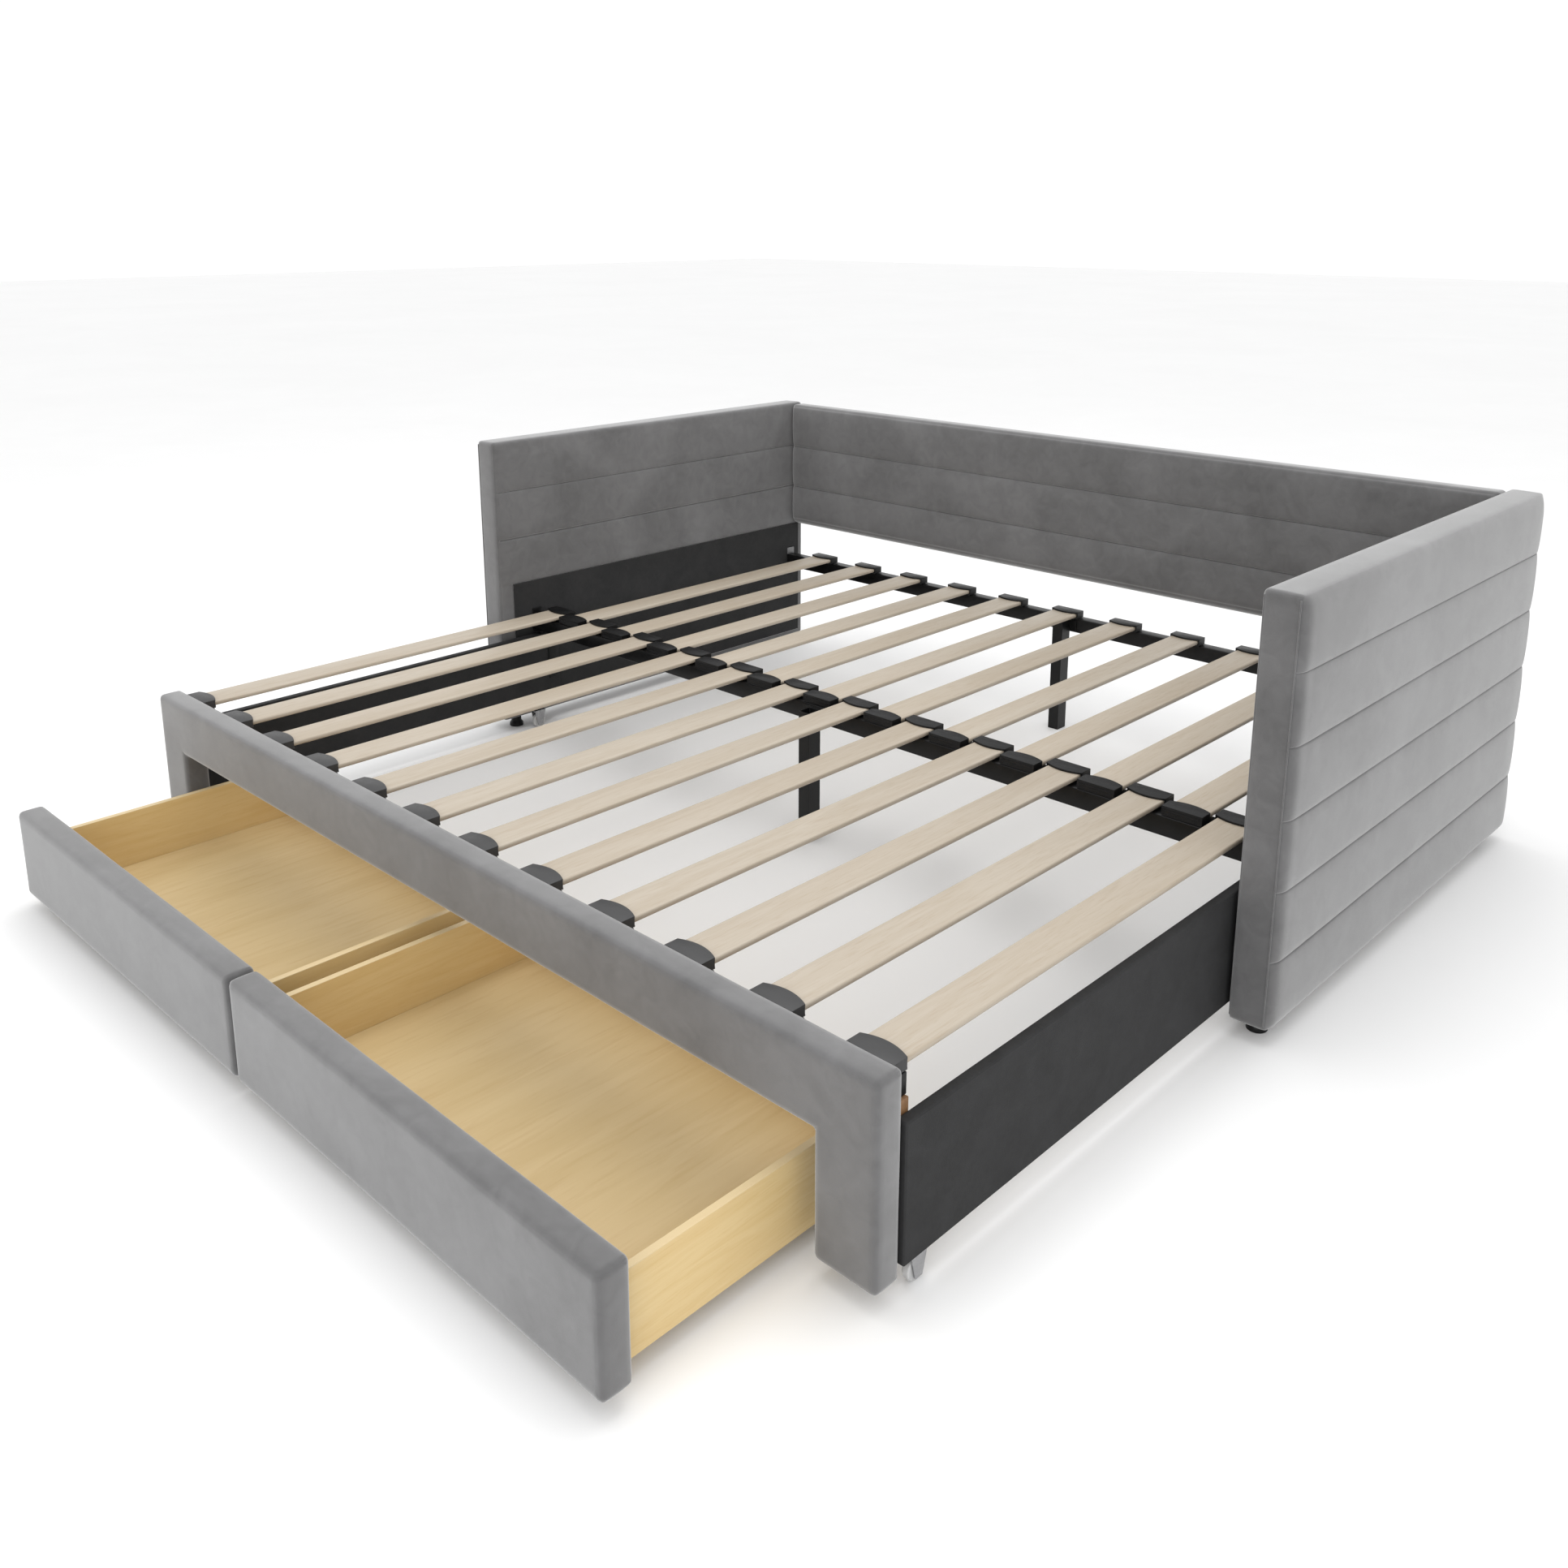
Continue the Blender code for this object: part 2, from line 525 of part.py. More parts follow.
# ---------------------------------------------------------------- castors
def fork_mesh(radius, width, top):
    """A fork about an axle at the origin: a plate at `top`, two tapered cheeks and the axle."""
    inner = width / 2 + FORK_SIDE_CLEARANCE
    outer = inner + FORK_PLATE
    foot = -radius + FORK_FLOOR_CLEARANCE
    plate = box("fork", (-outer, -FORK_TOP_LENGTH / 2, top - FORK_PLATE),
                (outer, FORK_TOP_LENGTH / 2, top), ZINC, DAYBED)
    tools = []
    for side in (-1, 1):
        low, high = mirrored(side, (inner, -FORK_TOP_LENGTH / 2, foot),
                             (outer, FORK_TOP_LENGTH / 2, top - FORK_PLATE / 2))
        cheek = cutter(low, high, DAYBED)
        for vert in cheek.data.vertices:
            if vert.co.z < 0:
                vert.co.y *= FORK_FOOT_LENGTH / FORK_TOP_LENGTH
        tools.append(cheek)
    pin = add_object("pin", drum(AXLE_RADIUS, 2 * outer - FORK_PLATE), (0, 0, 0), ZINC, DAYBED)
    tools.append(pin)
    for tool in tools:
        combine(plate, tool, "UNION")
    mesh = baked(plate)
    bpy.data.objects.remove(pin, do_unlink=True)
    return mesh


def castors():
    """Four fixed castors under the side boards; each wheel turns about its own origin."""
    fork = fork_mesh(CASTOR_RADIUS, CASTOR_WIDTH, BOARD_BOTTOM - GAP - CASTOR_RADIUS)
    wheel = drum(CASTOR_RADIUS, CASTOR_WIDTH, AXLE_RADIUS + BORE_CLEARANCE)
    x = BOARD_INNER_X + FORK_PLATE
    for side, side_name in ((-1, "left"), (1, "right")):
        for y, end_name in ((PANEL_REAR_Y + CASTOR_FRONT_INSET, "front"),
                            (BOARD_REAR_Y - CASTOR_REAR_INSET, "rear")):
            axle = (side * x, y, CASTOR_RADIUS)
            add_object(f"castor_fork_{end_name}_{side_name}", fork.copy(), axle, ZINC, PULL_OUT)
            add_object(f"castor_wheel_{end_name}_{side_name}", wheel.copy(), axle,
                       WHEEL_PLASTIC, PULL_OUT)


# ---------------------------------------------------------------- pull-out
def arch(name, inset, rear, mat, front_inset=None):
    """The front panel's arch, `inset` from the outside, as deep as `rear` from the front."""
    front = PANEL_FRONT_Y + (inset if front_inset is None else front_inset)
    half = PANEL_HALF_WIDTH - inset
    panel = box(name, (-half, front, PANEL_BOTTOM + inset), (half, rear, PANEL_TOP - inset),
                mat, PULL_OUT)
    opening = cutter((-OPENING_HALF - inset, front - CUT_PAST, PANEL_BOTTOM - CUT_PAST),
                     (OPENING_HALF + inset, rear + CUT_PAST, OPENING_TOP + inset), PULL_OUT)
    bm = bmesh.new()
    bm.from_mesh(opening.data)
    along_y = [e for e in bm.edges if abs(e.verts[0].co.y - e.verts[1].co.y) > SAME_PLACE]
    bmesh.ops.bevel(bm, geom=along_y, offset=OPENING_CORNER + inset, segments=3,
                    affect="EDGES", profile=0.5, material=-1)
    bm.to_mesh(opening.data)
    bm.free()
    combine(panel, opening, "DIFFERENCE")
    return panel


def front_panel():
    cover = arch("front_panel_cover", 0.0, PANEL_REAR_Y, VELVET)
    arch("front_panel_core", PANEL_PAD, PANEL_REAR_Y - GAP, CORE_WOOD)
    pocket = arch("panel_pocket", PANEL_PAD - GAP, PANEL_REAR_Y + CUT_PAST, VELVET)
    combine(cover, hide_as_tool(pocket), "DIFFERENCE")


def side_board(side, name):
    low = (BOARD_INNER_X, PANEL_REAR_Y + GAP, BOARD_BOTTOM)
    high = (BOARD_OUTER_X, BOARD_REAR_Y, BOARD_TOP)
    box(name + "_side_board", *mirrored(side, low, high), LINING, PULL_OUT, BOARD_EDGE, 1)


def pull_out():
    front_panel()
    side_board(-1, "left")
    side_board(1, "right")
    slat_start = PANEL_REAR_Y + GAP
    slat_end = SLIDING_RAIL_LINE + RAIL_WIDTH - CAP_BEHIND_RAIL
    ledger = box("slat_ledger",
                 (-BOARD_INNER_X + GAP, slat_start, LEDGER_TOP - LEDGER_HEIGHT),
                 (BOARD_INNER_X - GAP, slat_start + LEDGER_THICKNESS, LEDGER_TOP),
                 CORE_WOOD, PULL_OUT)
    join_caps(ledger, MOVING_SLATS, slat_start, FACING_BACK, LEDGER_TOP - CAP_SINK, PULL_OUT)
    tube = rail("sliding_rail", BOARD_INNER_X - GAP, SLIDING_RAIL_LINE,
                BOARD_BOTTOM + PLATE_ABOVE_BOARD_BOTTOM, PULL_OUT)
    join_caps_on_rail(tube, SLIDING_RAIL_LINE, MOVING_SLATS, slat_end, FACING_FRONT, PULL_OUT)
    slat_row("moving", MOVING_SLATS, slat_start, slat_end, PULL_OUT)
    castors()


def fixed_deck():
    """The two fixed rails between the arms and the slats across them."""
    face = HALF_CLEAR - GAP
    plate_bottom = RAIL_BOTTOM - BRACKET_THICKNESS
    start = RAIL_LINE + CAP_BEHIND_RAIL
    end = REAR_RAIL_LINE + RAIL_WIDTH - REAR_CAP_INSET
    front = rail("fixed_front_rail", face, RAIL_LINE, plate_bottom, DAYBED)
    join_caps_on_rail(front, RAIL_LINE, FIXED_SLATS, start, FACING_BACK, DAYBED)
    rear = rail("fixed_rear_rail", face, REAR_RAIL_LINE, plate_bottom, DAYBED)
    join_caps_on_rail(rear, REAR_RAIL_LINE, FIXED_SLATS, end, FACING_FRONT, DAYBED)
    slat_row("fixed", FIXED_SLATS, start, end, DAYBED)
    centre_leg("middle_leg", RAIL_LINE)
    centre_leg("rear_leg", REAR_RAIL_LINE)


# ---------------------------------------------------------------- drawers
def drawer(side, name):
    """A padded front on a four-walled box, with a base on four glides."""
    split = DRAWER_SPLIT / 2
    slide = joint_empty(name + "_drawer_slide",
                        (side * DRAWER_OUTER_X / 2, DRAWER_FRONT_Y, DRAWER_FRONT_BOTTOM), PULL_OUT)
    low, high = mirrored(side, (split, DRAWER_FRONT_Y, DRAWER_FRONT_BOTTOM),
                         (DRAWER_OUTER_X, DRAWER_FRONT_Y + DRAWER_FRONT_THICKNESS,
                          DRAWER_FRONT_TOP))
    box(name + "_drawer_front", low, high, VELVET, slide, PAD_EDGE_RADIUS)

    near = DRAWER_BOX_SPLIT / 2
    far = DRAWER_OUTER_X - DRAWER_BOX_INSET
    end = DRAWER_BOX_FRONT_Y + DRAWER_BOX_DEPTH
    walls = box(name + "_drawer_box",
                *mirrored(side, (near, DRAWER_BOX_FRONT_Y, DRAWER_BOX_BOTTOM),
                          (far, end, DRAWER_BOX_TOP)), DRAWER_WOOD, slide)
    inside_low = (near + DRAWER_WALL, DRAWER_BOX_FRONT_Y + DRAWER_WALL, DRAWER_BOX_BOTTOM)
    inside_high = (far - DRAWER_WALL, end - DRAWER_WALL, DRAWER_BOX_TOP)
    hollow = Vector((0, 0, CUT_PAST))
    combine(walls, cutter(*mirrored(side, Vector(inside_low) - hollow,
                                    Vector(inside_high) + hollow), slide), "DIFFERENCE")

    base_bottom = DRAWER_BOX_BOTTOM + DRAWER_BASE_RAISE
    gap = Vector((GAP, GAP, 0))
    base_low = Vector((*inside_low[:2], base_bottom)) + gap
    base_high = Vector((*inside_high[:2], base_bottom + DRAWER_BASE_THICKNESS)) - gap
    base = box(name + "_drawer_base", *mirrored(side, base_low, base_high), DRAWER_WOOD, slide)
    glide_bm = bmesh.new()
    height = base_bottom + DRAWER_BASE_THICKNESS / 2
    bmesh.ops.create_cone(glide_bm, cap_ends=True, segments=ROUND_STEPS, radius1=GLIDE_FOOT_RADIUS,
                          radius2=GLIDE_RADIUS, depth=height,
                          matrix=Matrix.Translation((0, 0, height / 2)))
    glide = mesh_from(glide_bm, "glide")
    corners = [(glide, (side * x, y, 0), FACING_BACK)
               for x in (inside_low[0] + GLIDE_INSET, inside_high[0] - GLIDE_INSET)
               for y in (inside_low[1] + GLIDE_INSET, inside_high[1] - GLIDE_INSET)]
    combine(base, tool_group("glides", corners, slide), "UNION")


# ---------------------------------------------------------------- build
arm(-1, "left")
arm(1, "right")
backrest()
levelling_feet()
fixed_deck()
pull_out()
drawer(-1, "left")
drawer(1, "right")
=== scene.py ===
"""Looks of the daybed with a pull-out deck: velvet covers, birch slats, pine drawers, black steel.

Metres, in the frame's own coordinates. Places come from the frame's boxes; the named sizes below are
those of the pieces that the frame holds as one solid, and of details finer than the frame.
"""

import json
import math

import bmesh
import bpy
from mathutils import Matrix, Vector, noise

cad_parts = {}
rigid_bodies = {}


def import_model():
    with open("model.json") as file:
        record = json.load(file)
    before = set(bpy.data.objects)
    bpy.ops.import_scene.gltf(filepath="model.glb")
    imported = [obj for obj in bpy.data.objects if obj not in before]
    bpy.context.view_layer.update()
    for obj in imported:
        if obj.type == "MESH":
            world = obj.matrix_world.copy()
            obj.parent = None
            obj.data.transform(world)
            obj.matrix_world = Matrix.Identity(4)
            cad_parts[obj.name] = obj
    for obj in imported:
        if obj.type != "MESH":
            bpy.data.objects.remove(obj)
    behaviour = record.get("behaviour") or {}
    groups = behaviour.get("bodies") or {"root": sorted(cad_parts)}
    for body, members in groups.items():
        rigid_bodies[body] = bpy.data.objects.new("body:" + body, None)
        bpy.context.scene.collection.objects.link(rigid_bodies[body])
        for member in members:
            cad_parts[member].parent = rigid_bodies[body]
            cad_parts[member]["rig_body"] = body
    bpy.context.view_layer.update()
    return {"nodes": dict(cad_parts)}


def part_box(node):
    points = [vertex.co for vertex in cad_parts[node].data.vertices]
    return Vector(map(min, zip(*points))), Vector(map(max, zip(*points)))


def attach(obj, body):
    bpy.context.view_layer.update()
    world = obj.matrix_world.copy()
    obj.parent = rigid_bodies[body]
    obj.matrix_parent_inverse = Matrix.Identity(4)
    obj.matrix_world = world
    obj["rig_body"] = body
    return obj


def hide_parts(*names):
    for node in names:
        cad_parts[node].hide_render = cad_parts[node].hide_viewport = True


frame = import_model()

# ---------------------------------------------------------------- sizes of the looks
HAIR = 0.0003                   # the gap the frame keeps between pieces that touch
SAME_PLACE = 1e-5

OUTER_SEAMS = (0.1532, 0.2771, 0.4003, 0.5238, 0.6464)      # heights of the arms' outer channels
INNER_SEAMS = (0.5173, 0.6414)                              # of the inner ones and the backrest's
SEAM_SPREAD = (0.0012, 0.0034, 0.0072, 0.013, 0.021)        # edge loops each side of a seam
SEAM_DEPTH = 0.0015
DEEP_SEAM = 0.0034              # of the faces that a sitter leans on
LOOP_SPACING = 0.015

ARM_SWELL = 0.0145              # outer face of an arm, past its piping
ARM_CROWN = 0.0092              # of which the padding's own shape
ARM_EDGE_SLOPE = 0.017          # how far in from the front or rear piping the padding turns
ARM_TOP_SLOPE = 0.042
ARM_FOOT_SLOPE = 0.016
ARM_PUFF = 0.0052               # how far a channel may swell
FACE_PUFF = 0.0016              # how far a flat face may swell
INNER_PUFF = 0.0040
ARM_EDGE = 0.009
LEAST_FILL = 0.72               # share of its swell that a cover always has
MOST_SIDEWAYS = 0.0009
PIPING_EDGE = 0.002
PIPING_RADIUS = 0.0011
BACK_CROWN = 0.005
BACK_CROWN_REACH = 0.024
BACK_PUFF = 0.0075
BACK_EDGE = 0.009
BACK_FOOT_EDGE = 0.024
PAD_EDGE = 0.009
PAD_PUFF = 0.0018

PANEL_OPENING_HALF = 0.905
PANEL_OPENING_TOP = 0.216

RAIL_WIDTH = 0.030
RAIL_HEIGHT = 0.038
RAIL_UNDER_CAPS = 0.019         # top of a cap to the top of its rail
PLATE = 0.003
SHELF = 0.032
CAP_WALL = 0.0035
CAP_ROOF = 0.0040
CAP_FLOOR = 0.0032
CAP_GRIP = 0.026
CAP_BULGE = 0.010
CAP_EDGE = 0.0007
CAP_ARC_STEPS = 10
REAR_CAP_INSET = 0.008
CAP_BEHIND_RAIL = 0.0005
LEDGER_DEPTH = 0.025
LEDGER_TOP = 0.272
BLOCK_PAST_HOLDER = 0.0016
SLAT_CORNER = 0.009
SLAT_EDGE = 0.0036


# ---------------------------------------------------------------- shader groups
def shader_group(name, inputs, outputs):
    """An empty node group with the named sockets, and its two ends."""
    group = bpy.data.node_groups.new(name, "ShaderNodeTree")
    for label, kind, value in inputs:
        socket = group.interface.new_socket(label, in_out="INPUT", socket_type=kind)
        if value is not None:
            socket.default_value = value
    for label, kind in outputs:
        group.interface.new_socket(label, in_out="OUTPUT", socket_type=kind)
    return group, group.nodes.new("NodeGroupInput"), group.nodes.new("NodeGroupOutput")


def noise_node(tree, vector, scale, detail=3.0, distortion=0.0):
    node = tree.nodes.new("ShaderNodeTexNoise")
    node.inputs["Detail"].default_value = detail
    node.inputs["Distortion"].default_value = distortion
    tree.links.new(vector, node.inputs["Vector"])
    if isinstance(scale, (int, float)):
        node.inputs["Scale"].default_value = scale
    else:
        tree.links.new(scale, node.inputs["Scale"])
    return node.outputs["Fac"]


def math_node(tree, operation, first, second):
    node = tree.nodes.new("ShaderNodeMath")
    node.operation = operation
    for socket, value in zip(node.inputs, (first, second)):
        if isinstance(value, (int, float)):
            socket.default_value = value
        else:
            tree.links.new(value, socket)
    return node.outputs[0]


def spread_node(tree, value, low_in, high_in, low_out, high_out):
    node = tree.nodes.new("ShaderNodeMapRange")
    for label, number in (("From Min", low_in), ("From Max", high_in),
                          ("To Min", low_out), ("To Max", high_out)):
        node.inputs[label].default_value = number
    tree.links.new(value, node.inputs["Value"])
    return node.outputs["Result"]


def mix_node(tree, factor, first, second, blend="MIX"):
    node = tree.nodes.new("ShaderNodeMix")
    node.data_type = "RGBA"
    node.blend_type = blend
    for socket, value in ((node.inputs["Factor"], factor), (node.inputs[6], first),
                          (node.inputs[7], second)):
        if isinstance(value, (int, float)):
            socket.default_value = value
        elif isinstance(value, tuple):
            socket.default_value = (*value, 1.0)
        else:
            tree.links.new(value, socket)
    return node.outputs[2]


def make_mottle():
    """Soft patches where a pile or a coating lies another way, and a fine fibre under them."""
    group, start, end = shader_group(
        "mottle", [("Vector", "NodeSocketVector", None), ("Scale", "NodeSocketFloat", 6.0)],
        [("Patches", "NodeSocketFloat"), ("Fibre", "NodeSocketFloat")])
    vector, scale = start.outputs["Vector"], start.outputs["Scale"]
    broad = noise_node(group, vector, scale, 4.0, 0.7)
    small = noise_node(group, vector, math_node(group, "MULTIPLY", scale, 5.5), 3.0, 1.2)
    both = math_node(group, "ADD", math_node(group, "MULTIPLY", broad, 0.65),
                     math_node(group, "MULTIPLY", small, 0.35))
    group.links.new(spread_node(group, both, 0.34, 0.66, 0.0, 1.0), end.inputs["Patches"])
    group.links.new(noise_node(group, vector, 1100.0, 2.0), end.inputs["Fibre"])
    return group


def make_grain():
    """Wood grain: growth bands and fine pores, stretched along the board by the vector given."""
    group, start, end = shader_group(
        "wood_grain", [("Vector", "NodeSocketVector", None), ("Bands", "NodeSocketFloat", 1.0)],
        [("Figure", "NodeSocketFloat"), ("Pores", "NodeSocketFloat")])
    vector = start.outputs["Vector"]
    broad = noise_node(group, vector, start.outputs["Bands"], 5.0, 1.6)
    rings = math_node(group, "PINGPONG", math_node(group, "MULTIPLY", broad, 5.0), 1.0)
    tone = noise_node(group, vector, 0.28, 2.0, 0.4)
    figure = math_node(group, "ADD", math_node(group, "MULTIPLY", rings, 0.35),
                       math_node(group, "MULTIPLY", tone, 0.75))
    group.links.new(figure, end.inputs["Figure"])
    pores = noise_node(group, vector, 9.0, 3.0, 0.3)
    group.links.new(spread_node(group, pores, 0.52, 0.72, 0.0, 1.0), end.inputs["Pores"])
    return group


MOTTLE = make_mottle()
GRAIN = make_grain()


# ---------------------------------------------------------------- materials
def start_material(name, roughness, metallic=0.0, stretch=(1.0, 1.0, 1.0)):
    """A Principled material and a vector that follows the object, stretched along its grain."""
    mat = bpy.data.materials.new(name)
    mat.use_nodes = True
    tree = mat.node_tree
    shader = tree.nodes["Principled BSDF"]
    shader.inputs["Roughness"].default_value = roughness
    shader.inputs["Metallic"].default_value = metallic
    place = tree.nodes.new("ShaderNodeTexCoord")
    mapping = tree.nodes.new("ShaderNodeMapping")
    mapping.inputs["Scale"].default_value = stretch
    tree.links.new(place.outputs["Object"], mapping.inputs["Vector"])
    return mat, tree, shader, mapping.outputs["Vector"], place.outputs["Object"]


def use_group(tree, group, vector, **values):
    node = tree.nodes.new("ShaderNodeGroup")
    node.node_tree = group
    tree.links.new(vector, node.inputs["Vector"])
    for label, value in values.items():
        node.inputs[label].default_value = value
    return node.outputs


def add_bump(tree, shader, height, strength, distance):
    bump = tree.nodes.new("ShaderNodeBump")
    bump.inputs["Strength"].default_value = strength
    bump.inputs["Distance"].default_value = distance
    tree.links.new(height, bump.inputs["Height"])
    tree.links.new(bump.outputs["Normal"], shader.inputs["Normal"])


def cloth(name, dark, light, scale, sheen, bump, roughness=0.9):
    """A pile or woven fabric, mottled where its nap lies another way."""
    mat, tree, shader, vector, _ = start_material(name, roughness)
    nap = use_group(tree, MOTTLE, vector, Scale=scale)
    body = mix_node(tree, nap["Patches"], dark, light)
    speck = spread_node(tree, nap["Fibre"], 0.3, 0.7, 0.93, 1.05)
    fleck = tree.nodes.new("ShaderNodeCombineColor")
    for socket in fleck.inputs:
        tree.links.new(speck, socket)
    tree.links.new(mix_node(tree, 1.0, body, fleck.outputs[0], "MULTIPLY"),
                   shader.inputs["Base Color"])
    shader.inputs["Sheen Weight"].default_value = sheen
    shader.inputs["Sheen Roughness"].default_value = 0.5
    shader.inputs["Specular IOR Level"].default_value = 0.25
    add_bump(tree, shader, nap["Fibre"], bump, 0.0006)
    return mat


def wood(name, dark, light, pore, stretch, roughness, bands=1.0, lane=None, edge_above=None):
    """A board's finish; `lane` gives each slat its own tone, `edge_above` pales a cut top edge."""
    mat, tree, shader, vector, place = start_material(name, roughness, stretch=stretch)
    split = tree.nodes.new("ShaderNodeSeparateXYZ")
    tree.links.new(place, split.inputs[0])
    grain = use_group(tree, GRAIN, vector, Bands=bands)
    figure = spread_node(tree, grain["Figure"], 0.3, 0.85, 0.0, 1.0)
    colour = mix_node(tree, figure, dark, light)
    colour = mix_node(tree, math_node(tree, "MULTIPLY", grain["Pores"], 0.3), colour, pore)
    if lane:
        number = math_node(tree, "FLOOR", math_node(tree, "DIVIDE", split.outputs["X"], lane), 0.0)
        dice = tree.nodes.new("ShaderNodeTexWhiteNoise")
        dice.noise_dimensions = "1D"
        tree.links.new(number, dice.inputs["W"])
        tone = spread_node(tree, dice.outputs["Value"], 0.0, 1.0, 0.0, 0.14)
        colour = mix_node(tree, tone, colour, pore)
    if edge_above:
        edge = math_node(tree, "GREATER_THAN", split.outputs["Z"], edge_above)
        colour = mix_node(tree, math_node(tree, "MULTIPLY", edge, 0.6), colour, (0.62, 0.50, 0.31))
    tree.links.new(colour, shader.inputs["Base Color"])
    rough = spread_node(tree, grain["Pores"], 0.0, 1.0, roughness - 0.05, roughness + 0.1)
    tree.links.new(rough, shader.inputs["Roughness"])
    add_bump(tree, shader, grain["Pores"], 0.12, 0.0004)
    return mat


def hard(name, dark, light, roughness, metallic, scale, bump, specular=0.5):
    """A coated, moulded or plated surface, with slight unevenness in colour and gloss."""
    mat, tree, shader, vector, _ = start_material(name, roughness, metallic)
    shader.inputs["Specular IOR Level"].default_value = specular
    uneven = use_group(tree, MOTTLE, vector, Scale=scale)
    tree.links.new(mix_node(tree, uneven["Patches"], dark, light), shader.inputs["Base Color"])
    gloss = spread_node(tree, uneven["Patches"], 0.0, 1.0, roughness - 0.06, roughness + 0.08)
    tree.links.new(gloss, shader.inputs["Roughness"])
    add_bump(tree, shader, uneven["Fibre"], bump, 0.0003)
    return mat


first_moving, second_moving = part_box("moving_slat_01"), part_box("moving_slat_02")
SLAT_PITCH = second_moving[0].x - first_moving[0].x
DRAWER_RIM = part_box("left_drawer_box")[1].z

VELVET = cloth("grey_velvet", (0.082, 0.081, 0.082), (0.132, 0.131, 0.133), 5.0, 0.72, 0.35)
LINING = cloth("black_lining", (0.022, 0.022, 0.0225), (0.030, 0.030, 0.0305), 14.0, 0.0, 0.5)
BOARD_CLOTH = cloth("charcoal_board_cloth", (0.019, 0.019, 0.0195), (0.027, 0.027, 0.028),
                    16.0, 0.0, 0.5, 0.7)
CORE = wood("core_board", (0.40, 0.27, 0.15), (0.56, 0.41, 0.26), (0.30, 0.19, 0.10),
            (30.0, 30.0, 6.0), 0.8)
BIRCH = wood("birch_slats", (0.405, 0.345, 0.268), (0.455, 0.402, 0.330), (0.34, 0.26, 0.18),
             (36.0, 2.6, 36.0), 0.5, 1.0, SLAT_PITCH / 2)
PINE_WALL = wood("pine_walls", (0.640, 0.460, 0.205), (0.700, 0.535, 0.270), (0.58, 0.39, 0.16),
                 (2.6, 2.6, 34.0), 0.48, 1.0, None, DRAWER_RIM - 0.0012)
PINE_BASE = wood("pine_bases", (0.575, 0.430, 0.215), (0.640, 0.495, 0.270), (0.52, 0.36, 0.17),
                 (13.0, 1.2, 13.0), 0.45)
BROWN_BOARD = wood("brown_ledger", (0.20, 0.10, 0.04), (0.30, 0.16, 0.07), (0.12, 0.06, 0.02),
                   (3.0, 40.0, 40.0), 0.6)
STEEL = hard("black_powder_coat", (0.004, 0.004, 0.0042), (0.008, 0.008, 0.0084), 0.34, 0.0,
             24, 0.3, 0.25)
PLASTIC = hard("black_moulding", (0.004, 0.004, 0.0042), (0.008, 0.008, 0.0084), 0.38, 0.0,
               40, 0.35, 0.22)
HOLDER = hard("charcoal_moulding", (0.022, 0.022, 0.023), (0.032, 0.032, 0.033), 0.45, 0.0,
              40, 0.35, 0.5)
ZINC = hard("bright_zinc", (0.34, 0.34, 0.35), (0.48, 0.48, 0.49), 0.24, 1.0, 60, 0.12)
DULL_PLATE = hard("dull_plate", (0.12, 0.12, 0.122), (0.20, 0.20, 0.203), 0.42, 0.0, 90, 0.3)
WHEEL = hard("wheel_nylon", (0.46, 0.46, 0.46), (0.55, 0.55, 0.55), 0.45, 0.0, 50, 0.15)


# ---------------------------------------------------------------- making pieces
def place_piece(name, bm, mat, body, stands_for=(), sharp=38):
    """Turn a finished bmesh into a piece that rides on a body."""
    mesh = bpy.data.meshes.new(name)
    bm.to_mesh(mesh)
    bm.free()
    mesh.shade_smooth()
    mesh.set_sharp_from_angle(angle=math.radians(sharp))
    obj = bpy.data.objects.new(name, mesh)
    bpy.context.scene.collection.objects.link(obj)
    mesh.materials.append(mat)
    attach(obj, body)
    if stands_for:
        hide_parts(*stands_for)
    return obj


def add_box(bm, low, high, edge=0.0, segments=2):
    """A box between two corners, with eased edges, added to a bmesh."""
    low, high = Vector(low), Vector(high)
    verts = bmesh.ops.create_cube(bm, size=1.0)["verts"]
    bmesh.ops.scale(bm, vec=high - low, verts=verts)
    bmesh.ops.translate(bm, vec=(low + high) / 2, verts=verts)
    if edge:
        edges = list({e for v in verts for e in v.link_edges})
        bmesh.ops.bevel(bm, geom=edges, offset=edge, segments=segments, affect="EDGES",
                        profile=0.5, material=-1)


def eased(node, mat, edge, segments=2, name=None):
    """A node's own shape with its edges eased, as a piece that stands for it."""
    bm = bmesh.new()
    bm.from_mesh(frame["nodes"][node].data)
    bmesh.ops.remove_doubles(bm, verts=bm.verts, dist=SAME_PLACE)
    bmesh.ops.dissolve_limit(bm, angle_limit=math.radians(1), verts=bm.verts, edges=bm.edges)
    piece = place_piece(name or node + "_finished", bm, mat, frame["nodes"][node]["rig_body"],
                        (node,))
    piece.data.materials.clear()
    piece.data.materials.append(mat)
    bevel = piece.modifiers.new("eased", "BEVEL")
    bevel.width = edge
    bevel.segments = segments
    bevel.limit_method = "ANGLE"
    bevel.angle_limit = math.radians(35)
    bevel.harden_normals = False
    return piece


# ---------------------------------------------------------------- upholstery
def loops_between(start, end, seams=()):
    """Places for edge loops: close together at the ends and seams, evenly spaced between."""
    places = set(seams)
    marks = [start, *sorted(seams), end]
    for low, high in zip(marks, marks[1:]):
        for step in SEAM_SPREAD:
            if low + step < (low + high) / 2:
                places.update((low + step, high - step))
        near, far = low + SEAM_SPREAD[-1], high - SEAM_SPREAD[-1]
        count = max(1, round((far - near) / LOOP_SPACING))
        places.update(near + (far - near) * i / count for i in range(1, count))
    return sorted(places)


